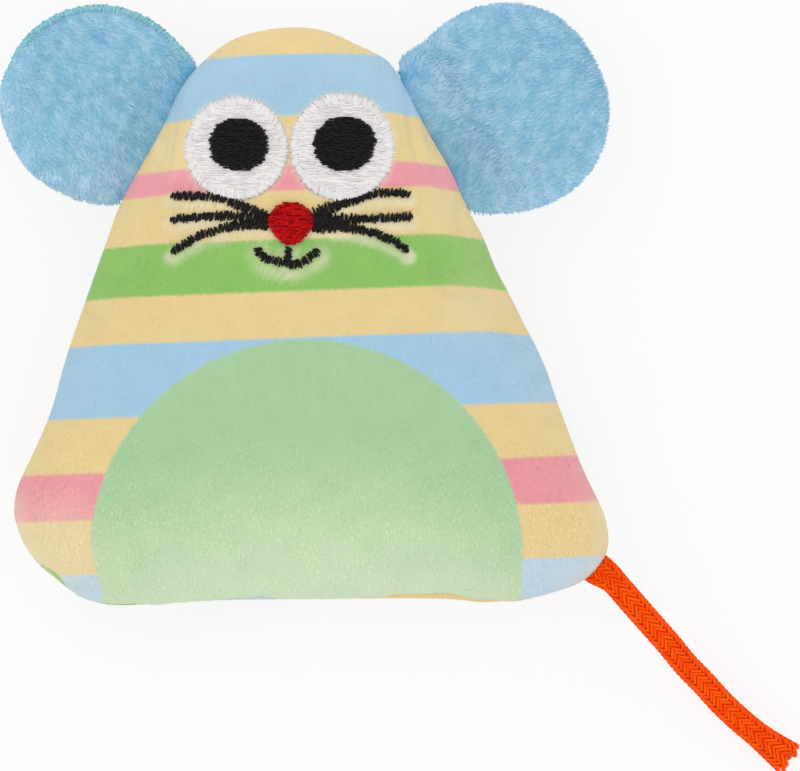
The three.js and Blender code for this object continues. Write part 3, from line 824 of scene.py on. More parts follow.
camera_data = bpy.data.cameras.new("camera")
camera_data.sensor_width = SENSOR
camera_data.lens = SENSOR * CAMERA_HEIGHT * PIXELS_PER_MM / IMAGE_WIDTH
camera_data.clip_end = CAMERA_END
SCENE.camera = put("camera", camera_data)
SCENE.camera.location = in_frame(np.array([*VIEW_CENTRE, SHARP_Z + CAMERA_HEIGHT]))


# Tail


def tail_braid():
    turn = math.radians(TAIL_OUT_DEGREES)
    out = np.array([math.cos(turn), math.sin(turn), 0.0])
    exit_point = np.array([*RIGHT_FOOT[:2], SEAM_Z]) + out * RIGHT_FOOT[2]
    pivot = exit_point + out * (TAIL_RADIUS + TAIL_PIVOT_GAP)
    route = np.vstack([*(exit_point - out * deep for deep in TAIL_SEWN_IN), np.array(TAIL_ROUTE) + pivot])
    line = curve_through(route, BRAID_STEP)
    count = len(line)
    length = BRAID_STEP * (count - 1)
    along = unit(np.gradient(line, axis=0))
    rise = unit(UP - along * (along @ UP)[:, None])
    across = np.cross(along, rise)
    places = np.linspace(0, length, count)

    def on_cord(place, angle, radius):
        """Points at a distance along the cord, at an angle from its top and a radius from its middle."""
        tip = np.clip((place - (length - TAIL_FLARE_LENGTH)) / TAIL_FLARE_LENGTH, 0, 1.3)
        flare = 1 + TAIL_FLARE * tip**1.5
        pressed = smooth(*TAIL_PRESSED, place)
        over = np.maximum(place - length, 0)[..., None] * along[-1]
        up_part = np.cos(angle) * radius * (1 - TAIL_FLATTENED * pressed) * flare
        side_part = np.sin(angle) * radius * (1 + TAIL_WIDENED * pressed) * flare
        points = between(place, places, line) + over + between(place, places, rise) * up_part[..., None]
        points = points + between(place, places, across) * side_part[..., None]
        points[..., 2] = np.maximum(points[..., 2], YARN_RADIUS)
        return points

    slant = math.atan2(2 * math.pi * BRAID_MIDDLE, BRAID_PITCH)
    lines, shades, outward = [], [], []
    for way in (1, -1):
        for strand in range(BRAID_STRANDS):
            cut = length + RANDOM.uniform(*BRAID_CUT)
            for yarn in BRAID_YARNS:
                end = cut + RANDOM.uniform(*YARN_CUT)
                run = np.linspace(0, end, count)
                angle = 2 * math.pi * (strand / BRAID_STRANDS + way * run / BRAID_PITCH)
                angle = angle + yarn * math.cos(slant) / BRAID_MIDDLE
                place = np.clip(run - way * yarn * math.sin(slant), 0, end)
                wave = np.clip(BRAID_FLOAT * np.sin(BRAID_STRANDS / 2 * angle), -1, 1) * way
                points = on_cord(place, angle, BRAID_MIDDLE + BRAID_WAVE * wave)
                lines.append(points)
                outward.append(points - on_cord(place, angle, np.zeros(count)))
                shades.append(RANDOM.uniform(0, 1))
    thick = np.full(count, YARN_RADIUS)
    thick[-len(YARN_END):] *= YARN_END
    shape = Shape()
    tubes(shape, lines, unit(np.array(outward)), thick, sides=8, shade=shades)
    core_run = np.linspace(0, length - CORE_SHORT, CORE_STEPS)
    core_place, core_turn = np.meshgrid(core_run, np.linspace(0, 2 * math.pi, CORE_SIDES), indexing="ij")
    core_radius = np.full(core_turn.shape, BRAID_MIDDLE + CORE_PROUD)
    core_radius[-1] = CORE_END
    core = on_cord(core_place, core_turn, core_radius)
    shape.add(core, grid_quads(CORE_STEPS, CORE_SIDES), shade=[CORE_SHADE])
    frayed = []
    loosening = 1 - 0.5 * TUFT_STEPS
    for turn in np.linspace(0, 2 * math.pi, TUFTS, endpoint=False):
        spread = RANDOM.uniform(*TUFT_SPREAD)
        tip = length + RANDOM.uniform(*TUFT_CUT) + TUFT_REACH * abs(math.sin(turn)) * spread
        for _ in range(TUFT_FIBRES):
            start = length - RANDOM.uniform(*TUFT_DEPTH)
            place = start + (tip - RANDOM.uniform(*TUFT_UNEVEN) - start) * TUFT_STEPS
            angle = turn + RANDOM.normal(0, TUFT_TURN) * loosening
            radius = BRAID_MIDDLE * (spread + RANDOM.normal(0, TUFT_STRAY) * loosening)
            frayed.append(on_cord(place, angle, radius))
    tubes(shape, frayed, UP, TUFT_TAPER, sides=4, slot=1, shade=RANDOM.random(len(frayed)))
    tail = shape.build("tail_braid", orange_yarn, frayed_yarn)
    path = in_frame(curve_through(route, TAIL_PATH_STEP))
    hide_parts("tail_cord", "tail_anchor")
    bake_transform(tail)


tail_braid()


# Body


def tangent(before, after):
    run = np.subtract(after[:2], before[:2])
    return math.atan2(run[1], run[0]) - math.pi / 2 + math.asin((before[2] - after[2]) / np.hypot(*run))


def outline():
    """The body's outline, anticlockwise and close together."""
    points = []
    for k, circle in enumerate(BODY_CIRCLES):
        before, after = BODY_CIRCLES[k - 1], BODY_CIRCLES[(k + 1) % len(BODY_CIRCLES)]
        start, end = tangent(before, circle), tangent(circle, after)
        while end < start:
            end += 2 * math.pi
        arc = ways_at(np.linspace(start, end, ARC_STEPS)) * circle[2] + circle[:2]
        following = np.array([math.cos(end), math.sin(end)]) * after[2] + after[:2]
        shares = np.linspace(0, 1, SIDE_STEPS, endpoint=False)[1:, None]
        points.extend([arc, arc[-1] + (following - arc[-1]) * shares])
    return np.concatenate(points)


EVEN_OUTLINE = outline()
OUTLINE = EVEN_OUTLINE + unit(EVEN_OUTLINE - POLE) * bumps(EVEN_OUTLINE, UNEVEN)[:, None]


def reach_of(boundary):
    """A function from direction to distance between the pole and a boundary round it."""
    away = boundary - POLE
    angles = np.arctan2(away[:, 1], away[:, 0])
    order = np.argsort(angles)
    return lambda turn: np.interp(turn, angles[order], np.hypot(*away.T)[order], period=2 * math.pi)


BODY_REACH = reach_of(OUTLINE)
EVEN_REACH = reach_of(EVEN_OUTLINE)


def square_to_disc(count):
    """Radius and direction on a unit disc for each point of a square grid."""
    line = np.linspace(-1, 1, count)
    u, v = np.meshgrid(line, line)
    wide = np.abs(u) >= np.abs(v)
    radius = np.where(wide, u, v)
    with np.errstate(divide="ignore", invalid="ignore"):
        turn = np.where(wide, math.pi / 4 * v / u, math.pi / 2 - math.pi / 4 * u / v)
    turn = np.nan_to_num(turn)
    return np.abs(radius), np.arctan2(radius * np.sin(turn), radius * np.cos(turn))


def drawn_back(turn, reach):
    """How far the front panel's edge is drawn in, so that the back panel shows beside it."""
    return bumps(POLE + ways_at(turn) * reach[..., None], BACK_SHOWS)


def panel_grid(count, up, height=1.0):
    """Points of a panel on a square grid, with their share of the way to the edge and directions."""
    rho, turn = square_to_disc(count)
    reach = BODY_REACH(turn)
    drawn = drawn_back(turn, reach)
    swell = np.clip(rho / DOME_SHARE, 0, 1) * math.pi / 2
    tuck = np.clip((rho - DOME_SHARE) / (1 - DOME_SHARE), 0, 1) * math.pi / 2
    base = SEAM_Z + up * SEAM_ROUND
    rise = (FRONT_TOP if up > 0 else BACK_LOW) - base
    share = np.sin(swell) ** (2 / SWELL_SPREAD)
    even = EVEN_REACH(turn)
    edge = even + (reach - even) * rho**4 - (drawn if up > 0 else 0)
    turned_in = SEAM_ROUND if up > 0 else SEAM_ROUND + drawn
    distance = share * edge - turned_in * (1 - np.cos(tuck))
    z = base + rise * height * np.cos(swell) ** (2 / SWELL_SHOULDER) - up * SEAM_ROUND * np.sin(tuck)
    z = z + SEAM_RAISE * drawn * smooth(RAISED_FROM, 1.0, rho)
    return raised(POLE + ways_at(turn) * distance[..., None], z), distance / reach, turn


def laid_flat(count):
    """Where the back panel's places lie on its cloth, spread flat about the pole."""
    rho, turn = square_to_disc(count)
    steps = np.linspace(0, 1, 200)
    swell = np.clip(steps / DOME_SHARE, 0, 1) * math.pi / 2
    out = BODY_REACH(turn).mean() * np.sin(swell) ** (2 / SWELL_SPREAD)
    down = (SEAM_Z - BACK_LOW) * np.cos(swell) ** (2 / SWELL_SHOULDER)
    run = np.cumsum(np.hypot(np.diff(out, prepend=out[0]), np.diff(down, prepend=down[0])))
    away = BODY_REACH(turn) * np.interp(rho, steps, run / run[-1])
    return raised(POLE + ways_at(turn) * away[..., None], 0.0)


def cubic_resample(coarse, fine):
    """A matrix that carries values on a coarse row of points to a finer one, smoothly."""
    places = np.linspace(0, coarse - 1, fine)
    start = np.minimum(places.astype(int), coarse - 2)
    rows = [np.eye(coarse)[np.clip(start + k, 0, coarse - 1)] for k in (-1, 0, 1, 2)]
    return cubic(*rows, (places - start)[:, None])


def stuffed():
    """How far stuffing moves the two panels, from a cloth simulation of the closed skin."""
    front, back = (panel_grid(COARSE, up, SIM_START)[0] for up in (1, -1))
    full_front, full_back = (panel_grid(COARSE, up)[0] for up in (1, -1))
    index = np.arange(COARSE * COARSE).reshape(COARSE, COARSE)
    inner = np.zeros((COARSE, COARSE), bool)
    inner[1:-1, 1:-1] = True
    back_index = index.copy()
    back_index[inner] = COARSE * COARSE + np.arange(inner.sum())
    corners = np.concatenate([front.reshape(-1, 3), back[inner]]) * MM * SIM_SCALE
    quads = grid_quads(COARSE, COARSE)
    back_quads = back_index.ravel()[quads][:, ::-1]
    mesh = bpy.data.meshes.new("skin")
    mesh.from_pydata(corners.tolist(), [], np.concatenate([quads, back_quads]).tolist())
    skin = put("skin", mesh)
    seam = skin.vertex_groups.new(name=CLOTH["vertex_group_mass"])
    seam.add(index[~inner].tolist(), 1.0, "REPLACE")
    modifier = skin.modifiers.new("cloth", "CLOTH")
    for key, value in CLOTH.items():
        setattr(modifier.settings, key, value)
    modifier.settings.effector_weights.gravity = 0
    modifier.collision_settings.use_collision = False
    for number in range(1, SIM_FRAMES + 1):
        SCENE.frame_set(number)
    evaluated = skin.evaluated_get(bpy.context.evaluated_depsgraph_get()).data
    moved = np.empty(len(evaluated.vertices) * 3, np.float32)
    evaluated.vertices.foreach_get("co", moved)
    moved = moved.reshape(-1, 3) / (MM * SIM_SCALE)
    bpy.data.objects.remove(skin)
    bpy.data.meshes.remove(mesh)
    SCENE.frame_set(1)
    shift = moved - np.concatenate([full_front.reshape(-1, 3), full_back[inner]])
    size = np.linalg.norm(shift, axis=1, keepdims=True)
    shift = shift * np.minimum(1, MAX_SWELL / np.maximum(size, 1e-6))
    rho, _ = square_to_disc(COARSE)
    hold = np.stack([smooth(*band, rho) for band in SEAM_HOLD], -1)
    return shift[index] * hold, shift[back_index] * hold


def ellipse_share(points, centre, size, squareness=2.0):
    """1 on the edge of a rounded patch, less inside it."""
    away = np.abs((points[..., :2] - centre) / (np.array(size) / 2))
    return (away**squareness).sum(-1) ** (1 / squareness)


def eye_shares(points):
    return [ellipse_share(points, eye["centre"], eye["size"]) for eye in EYES.values()]


def from_nose(route):
    return np.array(route, float) + NOSE


def points_on(routes):
    return np.concatenate([curve_through(from_nose(route), 0.5) for route in routes])


WHISKER_POINTS = points_on(WHISKERS.values())
MOUTH_POINTS = points_on((MOUTH, MOUTH_STEM))
FACE_POINTS = np.concatenate([WHISKER_POINTS, MOUTH_POINTS])


def line_distance(points, line=FACE_POINTS, batch=40):
    """Distance in plan to the nearest place on a line of the face, by default on any of them."""
    flat = points[..., :2].reshape(-1, 2)
    nearest = np.full(len(flat), np.inf)
    for start in range(0, len(line), batch):
        away = flat[:, None, :] - line[None, start:start + batch, :]
        nearest = np.minimum(nearest, np.hypot(away[..., 0], away[..., 1]).min(1))
    return nearest.reshape(points.shape[:-1])


def print_place(points, share):
    """Where a place on the panel lies on the printed cloth: the stripes droop at the head's sides."""
    rim = np.clip((share - DROOP_FROM) / DROOP_BAND, 0, 1) ** 2
    droop = (DROOP + DROOP_SIDEWAYS * points[..., 0]) * rim * smooth(*DROOP_LEVELS, points[..., 1])
    placed = raised(points[..., :2], 0.0)
    placed[..., 1] += droop
    return placed


def undyed_and_sheen(points, share, up):
    """How far a panel pales towards the cream: painted sheen along its edge, at the feet and at spots on
    its sides, and dye rubbed off round the embroidery on the front.
    """
    across = points[..., 0]
    # Painted sheen: paler along the edge, a little more on the right, and at the outer feet
    edge = smooth(EDGE_SHEEN_FROM, 1.0, share) * (EDGE_SHEEN + EDGE_SHEEN_SIDEWAYS * across)
    foot = FOOT_SHEEN * smooth(*FOOT_LEVELS, points[..., 1]) * smooth(FOOT_SHEEN_FROM, 1.0, share)
    halo = edge + bumps(points[..., :2], PAINTED_LIGHT_SPOTS) + foot * smooth(*FOOT_SIDES, np.abs(across))
    if up < 0:
        return halo
    mottle = MOTTLE_MIDDLE + MOTTLE_SPREAD * lumps(points, MOTTLE_SIZE, seed=8)
    for line, band in ((WHISKER_POINTS, WHISKER_HALO), (MOUTH_POINTS, MOUTH_HALO)):
        paled = smooth(*band, line_distance(points + HALO_SHIFT, line))
        halo = np.maximum(halo, LINE_WORN * mottle * paled)
    for eye_share in eye_shares(points):
        halo = np.maximum(halo, EYE_WORN * mottle * smooth(*EYE_HALO, eye_share))
    return halo


def carries_pile(roots, up):
    """Which places are bare cloth: off the embroidery on the front, off the floor on the back."""
    if up < 0:
        return roots[:, 2] > PILE_OFF_FLOOR
    bare = (ellipse_share(roots, NOSE, NOSE_SIZE) > 1.0) & (line_distance(roots) > PILE_OFF_LINE)
    return bare & (np.min(eye_shares(roots), axis=0) > PILE_OFF_EYE)


def body_panel(name, node, up, shift, material, pile):
    points, share, turn = panel_grid(FINE, up)
    carry = cubic_resample(COARSE, FINE)
    for axis in range(3):
        points[..., axis] += carry @ shift[..., axis] @ carry.T
    rim = smooth(RIM_FROM, 1.0, share)
    normals = grid_normals(points, up)
    lumpy = LUMP_HEIGHT * lumps(points, LUMP_SIZE, seed=3) * (1 - rim) * smooth(1.0, LUMPS_END, share)
    points += normals * lumpy[..., None]
    drift = PUCKER_DRIFT[0] * np.sin(turn * PUCKER_DRIFT[1])
    pucker = np.sin(turn * PUCKERS + drift) * rim * (1 - smooth(PUCKER_END, 1.0, share))
    points += normals * (PUCKER_HEIGHT * pucker)[..., None]
    if up > 0:
        for eye_share in eye_shares(points):
            points[..., 2] -= EYE_DENT * smooth(*EYE_DENT_BAND, eye_share)
        points[..., 2] -= LINE_DENT * smooth(*LINE_DENT_BAND, line_distance(points))
    else:
        points[..., 2] = np.maximum(points[..., 2], REST_CLEAR)
    normals = grid_normals(points, up)
    printed = print_place(points, share) if up > 0 else laid_flat(FINE)
    # Painted light: lighter towards the edge and up the head, carried in the shade value
    painted_rim_light = PAINTED_RIM_LIGHT * smooth(PAINTED_RIM_LIGHT_FROM, 1.0, share) * smooth(*PAINTED_RIM_LIGHT_LEVELS, points[..., 1])
    coarser = (slice(None, None, INNER_STEP), slice(None, None, INNER_STEP))

    def both(grid):
        """A grid's values for the cloth's outer side and its coarser inner side."""
        return np.concatenate([side.reshape(-1, *grid.shape[2:]) for side in (grid, grid[coarser])])

    shape = Shape()
    skin = closed_skin(points, (points - normals * WALL)[coarser], up)
    paled = both(undyed_and_sheen(points, share, up))
    shape.add(*skin, halo=paled, shade=SKIN_SHADE + both(painted_rim_light), print=both(printed))
    at = scatter(points, grid_quads(FINE, FINE, up), pile)
    keep = carries_pile(at(points), up)
    roots, root_normals, edge = at(points)[keep], unit(at(normals))[keep], at(share)[keep]
    count = len(roots)
    shade = RANDOM.uniform(*PILE_SHADES, count)
    chance = FLECK_SHARE * smooth(*FLECK_LEVELS, roots[:, 1]) * smooth(*FLECK_EDGE, edge) * (up > 0)
    flecked = RANDOM.random(count) < chance
    shade[flecked] = FLECK
    length = np.where(flecked, FLECK_SIZE[0], PILE_LENGTH) * RANDOM.uniform(*PILE_SHARES, count)
    width = np.where(flecked, FLECK_SIZE[1], 1.0) * PILE_WIDTH
    stray = np.where(flecked, FLECK_STRAY, PILE_STRAY)
    way = PILE_WAY + RANDOM.normal(0, 1, roots.shape) * stray[:, None]
    flow = combed(way, root_normals)
    stand = RANDOM.uniform(*PILE_STAND, count)
    short_pile(shape, roots, root_normals, flow, length, width, stand, at(printed)[keep],
               halo=undyed_and_sheen(roots, edge, up), shade=shade + at(painted_rim_light)[keep])
    panel = shape.dress(name, node, "printed_velboa", material)
    return points


front_shift, back_shift = stuffed()
FRONT = body_panel("body_front", "front_panel", 1, front_shift, front_print, FRONT_PILE)
BACK = body_panel("body_back", "back_panel", -1, back_shift, back_print, BACK_PILE)
FRONT_TREE = BVHTree.FromPolygons(FRONT.reshape(-1, 3).tolist(), grid_quads(FINE, FINE).tolist())


def filling():
    """Fibre that fills the panels, following them from inside."""
    rows = slice(FILL_INSET, FINE - FILL_INSET, FILL_STEP)
    top = (FRONT - grid_normals(FRONT, 1) * FILL_BELOW)[rows, rows]
    bottom = (BACK - grid_normals(BACK, -1) * FILL_BELOW)[rows, rows]
    shape = Shape()
    shape.add(*closed_skin(top, bottom))
    fibre = cloth("polyester_fibre", rgb(226, 224, 216), rgb(250, 249, 245), 0.5)
    shape.dress("stuffing", "fibre_filling", "polyester_fibre", fibre)


filling()


# Embroidery, laid on the front panel


def on_front(flat, above):
    """Points over the front panel at drawing places, with the panel's normals there."""
    placed, ways = [], []
    for x, y in np.asarray(flat).reshape(-1, 2):
        hit, way, _, _ = FRONT_TREE.ray_cast(Vector((x, y, 80.0)), Vector((0, 0, -1)))
        placed.append(hit)
        ways.append(way)
    shape = (*np.shape(flat)[:-1], 3)
    placed, ways = np.array(placed).reshape(shape), unit(np.array(ways)).reshape(shape)
    return placed + UP * (np.asarray(above) / ways[..., 2])[..., None], ways


def stitches(shape, starts, ends, above, radius, arch=0.22, bottom=-0.15):
    """Adds one arched thread for each pair of plan places."""
    flat = starts[:, None] + (ends - starts)[:, None] * STITCH_STEPS[:, None]
    hump = np.sin(math.pi * STITCH_STEPS) ** 0.6
    height = above + arch * hump - (above - bottom) * (1 - hump) ** 3
    points, ways = on_front(flat, np.broadcast_to(height, flat.shape[:-1]))
    tubes(shape, points, ways, radius * (0.72 + 0.28 * hump), shade=RANDOM.random(len(starts)))


def underlay(shape, centre, size, above, squareness=2.0, point=0.0):
    """A low padded ground below the threads, in rings from the middle out."""
    turn = np.linspace(0, 2 * math.pi, UNDERLAY_SIDES, endpoint=False)
    c, s = np.cos(turn), np.sin(turn)
    rim = np.stack([
        np.sign(c) * np.abs(c) ** (2 / squareness) * (1 - point * np.maximum(0, -s)) * size[0] / 2,
        np.sign(s) * np.abs(s) ** (2 / squareness) * size[1] / 2,
    ], 1)
    flat = np.array(centre) + rim[None] * UNDERLAY_RINGS[:, None, None]
    height = np.array([above, above, above, above, above * 0.6, -0.3])
    points, _ = on_front(flat, np.broadcast_to(height[:, None], flat.shape[:2]))
    quads = grid_quads(len(UNDERLAY_RINGS), UNDERLAY_SIDES, up=-1, closed=True)
    shape.add(points, np.roll(quads, 1, axis=1), shade=[UNDERLAY_SHADE])


def half_width(y, size, squareness, point=0.0):
    """Half the width of a rounded patch at a height from its middle."""
    share = np.clip(np.abs(y) / (size[1] / 2), 0, 1)
    tip = 1 - point * share if y < 0 else 1
    return size[0] / 2 * (1 - share**squareness) ** (1 / squareness) * tip


def fill_rows(centre, size, pitch, stitch, squareness=2.0, point=0.0, ragged=0.0, drift=0.05):
    """Rows of fill stitches across a patch, broken like bricks; returns their starts and ends."""
    shortest, least, overlap = 0.6, 0.4, 0.1
    starts, ends = [], []
    rows = int(size[1] / pitch)
    for row in range(rows):
        y = -size[1] / 2 + (row + 0.5) * size[1] / rows
        half = half_width(y, size, squareness, point)
        if half < least:
            continue
        left = -half + RANDOM.uniform(-ragged, ragged)
        right = half + RANDOM.uniform(-ragged, ragged)
        breaks = np.arange(left - stitch * ((row * 0.37) % 1), right, stitch)
        cuts = [left, *[b for b in breaks if left + shortest < b < right - shortest], right]
        for a, b in zip(cuts, cuts[1:]):
            wander = RANDOM.normal(0, drift, 2)
            starts.append((centre[0] + a - overlap, centre[1] + y + wander[0]))
            ends.append((centre[0] + b + overlap, centre[1] + y + wander[1]))
    return np.array(starts), np.array(ends)


def embroidered(shape, node, colour, material):
    shape.dress(f"{node}_stitches", node, f"{colour}_embroidery", material)


def eye(side, centre, size, pupil):
    centre, size = np.array(centre), np.array(size)
    middle, pupil_size, squareness = pupil
    pupil_size = np.array(pupil_size)
    shape = Shape()
    underlay(shape, centre, size - 0.5, above=0.4)
    starts, ends = fill_rows(centre, size - 2.4, pitch=0.4, stitch=1.7, drift=0.11)
    seen = ellipse_share((starts + ends) / 2, middle, pupil_size - 1.6, squareness) > 1
    stitches(shape, starts[seen], ends[seen], above=0.32, radius=0.25, arch=0.1, bottom=0.2)
    ring = ways_at(np.linspace(0, 2 * math.pi, EYE_RING_THREADS, endpoint=False))
    depth = RANDOM.uniform(*EYE_RING_DEPTH, EYE_RING_THREADS)[:, None]
    outside = centre + ring * (size / 2 + RANDOM.uniform(*EYE_RING_OVER, (EYE_RING_THREADS, 1)))
    inside = centre + np.roll(ring, 2, axis=0) * (size / 2 - depth)
    stitches(shape, inside, outside, above=0.3, radius=0.14)
    embroidered(shape, f"eye_white_{side}", "white", white_thread)
    shape = Shape()
    underlay(shape, middle, pupil_size - (0.6, 0.4), above=0.85, squareness=squareness)
    rows = fill_rows(middle, pupil_size, pitch=0.3, stitch=1.4, squareness=squareness, ragged=0.35)
    stitches(shape, *rows, above=0.85, radius=0.19, arch=0.08, bottom=0.65)
    embroidered(shape, f"pupil_{side}", "black", black_thread)


for side, place in EYES.items():
    eye(side, **place)

nose_shape = Shape()
underlay(nose_shape, NOSE, np.array(NOSE_SIZE) - 0.4, above=0.6, point=NOSE_POINT)
nose_rows = fill_rows(NOSE, NOSE_SIZE, 0.32, 0.8, squareness=2.1, point=NOSE_POINT, ragged=0.12, drift=0.06)
stitches(nose_shape, *nose_rows, above=0.75, radius=0.19, arch=0.12, bottom=0.5)
embroidered(nose_shape, "nose", "red", red_thread)


def satin(shape, route, width, root_width):
    """Zigzag satin stitches along a route."""
    line = curve_through(from_nose(route), SATIN_PITCH)
    along = unit(np.gradient(line, axis=0))
    across = np.stack([-along[:, 1], along[:, 0]], 1)
    share = np.linspace(0, 1, len(line))
    half = (root_width + (width - root_width) * np.minimum(1, 2 * share)) / 2 * smooth(*SATIN_END, share)
    low = half * RANDOM.uniform(*SATIN_REACH, len(line))
    high = half * RANDOM.uniform(*SATIN_REACH, len(line))
    lean = along * RANDOM.uniform(*SATIN_LEAN, len(line))[:, None]
    wobble = RANDOM.normal(0, SATIN_STRAY, line.shape)
    starts = line - across * low[:, None] - lean + wobble
    ends = line + across * high[:, None] + lean + wobble
    stitches(shape, starts, ends, above=0.3, radius=0.16)


for place, route in WHISKERS.items():
    shape = Shape()
    satin(shape, route, LINE_WIDTH, LEFT_ROOT_WIDTH if "left" in place else RIGHT_ROOT_WIDTH)
    embroidered(shape, f"whisker_{place}", "black", black_thread)

mouth_shape = Shape()
satin(mouth_shape, MOUTH, LINE_WIDTH, MOUTH_ROOT_WIDTH)
satin(mouth_shape, MOUTH_STEM, STEM_WIDTH, STEM_WIDTH)
embroidered(mouth_shape, "mouth", "black", black_thread)


# Ears


def ear_place(ear):
    """An ear's centre, a place on its fold and the direction from the fold outwards."""
    joint = next(j for j in frame["joints"] if j["name"] == ear["joint"])
    fold = np.array(joint["pos_m"][:2]) / MM - DRAWING_SHIFT[:2]
    along = unit(np.array(joint["axis"][:2]))
    centre = np.array(ear["centre"])
    out = np.array([along[1], -along[0]])
    return centre, fold, out if (centre - fold) @ out > 0 else -out


def ear_reach(ear, ways):
    """How far an ear's edge lies from its centre in the given directions."""
    return ear["radius"] + bumps(np.array(ear["centre"]) + ways * ear["radius"], ear["uneven"])


def thread_hidden(ear, ways):
    """How far the plush covers the overlock thread: the left ear's shows along its top."""
    return 1.0 if ear["thread_depth"] else smooth(0.75, 0.15, ways[..., 1])


def ear_layer(side, ear, up, pile):
    """One plush layer of an ear, thinner towards its sewn root."""
    centre, fold, out = ear_place(ear)
    rho, turn = square_to_disc(EAR_GRID)
    ways = ways_at(turn)
    limit = ear_reach(ear, ways) - ear["fluff"] * (1.2 - 0.7 * thread_hidden(ear, ways))
    limit = limit - (EAR_BACK_INSET if up < 0 else 0)
    root_line = (centre - fold) @ out + EAR_ROOT_DEPTH
    reach = np.minimum(limit, root_line / np.maximum(-(ways @ out), 1e-3))
    share = np.sin(rho * math.pi / 2)
    flat = centre + ways * (share * reach)[..., None]
    thin = EAR_THIN[0] + EAR_THIN[1] * smooth(*EAR_THIN_BAND, (flat - fold) @ out)
    half = (EAR_EDGE * np.sqrt(np.maximum(1 - share**10, 0)) + EAR_CROWN * (1 - share**2) ** 0.8) * thin
    points = raised(flat, SEAM_Z + up * half)
    lumpy = EAR_LUMP_HEIGHT * lumps(points, EAR_LUMP_SIZE, seed=5 + up)
    points[..., 2] += lumpy * (1 - share**4) * thin * up
    normals = grid_normals(points, up)
    normals[[0, -1]] = unit(normals[[1, -2]])
    quads = grid_quads(EAR_GRID, EAR_GRID, up)
    shape = Shape()
    shape.add(points, quads, shade=[EAR_SHADE])
    at = scatter(points, quads, pile)
    keep = (at(points)[:, :2] - fold) @ out > PLUSH_FROM
    roots, root_normals = at(points)[keep], unit(at(normals))[keep]
    count = len(roots)
    lie, lean = ear["heading"]
    swirl = PLUSH_SWIRL * lumps(roots, PLUSH_SWIRL_SIZE, seed=9 + up)
    heading = np.radians(lie + lean * (roots[:, 1] - centre[1]) / ear["radius"] + swirl)
    away = roots[:, :2] - centre
    outward = raised(unit(away), 0.0)
    rim = smooth(*PLUSH_RIM, np.hypot(*away.T) / ear_reach(ear, unit(away)))
    way = raised(ways_at(heading), 0.0) + RANDOM.normal(0, PLUSH_STRAY, (count, 3))
    way += outward * (rim * thread_hidden(ear, outward))[:, None] * PLUSH_OUTWARD
    flow = combed(way, root_normals)
    tuft = np.clip(0.5 + 0.5 * lumps(roots, PLUSH_TUFT, seed=31), 0, 1)
    root_away = (roots[:, :2] - fold) @ out
    length = RANDOM.uniform(*PLUSH_LENGTH, count) * (1 - PLUSH_SHORTER * rim)
    # Shade value: random and clumped in tufts, with painted light at the rim, the ear's painted shadow and
    # light patches, and painted shadow along the root
    shade = 0.45 * RANDOM.random(count) + 0.45 * tuft + 0.25 * rim
    shade = shade + bumps(roots[:, :2], ear["painted_light_and_shade"]) - ROOT_SHADOW * smooth(*ROOT_SHADOW_BAND, root_away)
    stand = RANDOM.uniform(*PLUSH_STAND, count) + ROOT_STAND * smooth(*ROOT_STAND_BAND, root_away)
    fibres(shape, roots, root_normals, flow, length, RANDOM.uniform(*PLUSH_WIDTH, count), stand, shade)
    face = "front" if up > 0 else "back"
    made = shape.build(f"ear_{side}_plush_{face}", ear_plush)
    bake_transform(made)
    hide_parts(f"ear_{side}_{face}", *([f"ear_{side}_tab"] if up > 0 else []))


def ear_overlock(side, ear):
    """Overlock loops over the rim, round a core of thread."""
    centre, fold, out = ear_place(ear)
    radius = ear["radius"]
    open_half = math.acos((centre - fold) @ out / radius)
    facing = math.atan2(-out[1], -out[0])
    turn = np.arange(facing + open_half, facing + 2 * math.pi - open_half, OVERLOCK_PITCH / radius)
    turn = turn + RANDOM.normal(0, OVERLOCK_STRAY / radius, len(turn))
    wrap = OVERLOCK_WRAP

    def on_rim(angle, inward, above):
        ways = ways_at(angle)
        hidden = thread_hidden(ear, ways)
        distance = ear_reach(ear, ways) - ear["thread_depth"] - 0.5 * hidden - inward
        return raised(centre + ways * distance[:, None], SEAM_Z + above * (1 - 0.4 * hidden))

    lines, ups = [], []
    for angle in turn:
        lean = angle + wrap / math.pi * RANDOM.uniform(*OVERLOCK_LEAN)
        deep = np.maximum(np.abs(wrap) - OVERLOCK_BITE_FROM, 0) * RANDOM.uniform(*OVERLOCK_BITE)
        inward = 0.6 - 0.5 * np.cos(wrap) + deep + RANDOM.normal(0, OVERLOCK_UNEVEN)
        lines.append(on_rim(lean, inward, OVERLOCK_HALF * np.sin(wrap)))
        rim_way = np.array([math.cos(angle), math.sin(angle), 0.0])
        ups.append(np.cos(wrap)[:, None] * rim_way + np.sin(wrap)[:, None] * UP)
    shape = Shape()
    shade = 0.6 * RANDOM.random(len(lines)) + 0.4 + 0.35 * lumps(turn[:, None] * radius, 0.8, seed=4)
    tubes(shape, lines, ups, OVERLOCK_RADIUS, shade=shade)
    around = np.linspace(turn[0], turn[-1], OVERLOCK_CORE_STEPS)
    core = on_rim(around, OVERLOCK_CORE_DEPTH, 0.0)
    tubes(shape, [core], UP, OVERLOCK_CORE, sides=10, shade=[0.6])
    node = f"ear_{side}_overlock"
    shape.dress(f"{node}_thread", node, "teal_thread", overlock_thread, f"ear_{side}")


for side, ear in EARS.items():
    ear_layer(side, ear, 1, EAR_FRONT_PILE)
    ear_layer(side, ear, -1, EAR_BACK_PILE)
    ear_overlock(side, ear)


# Closing stitches, worked by hand across the groove of the seam


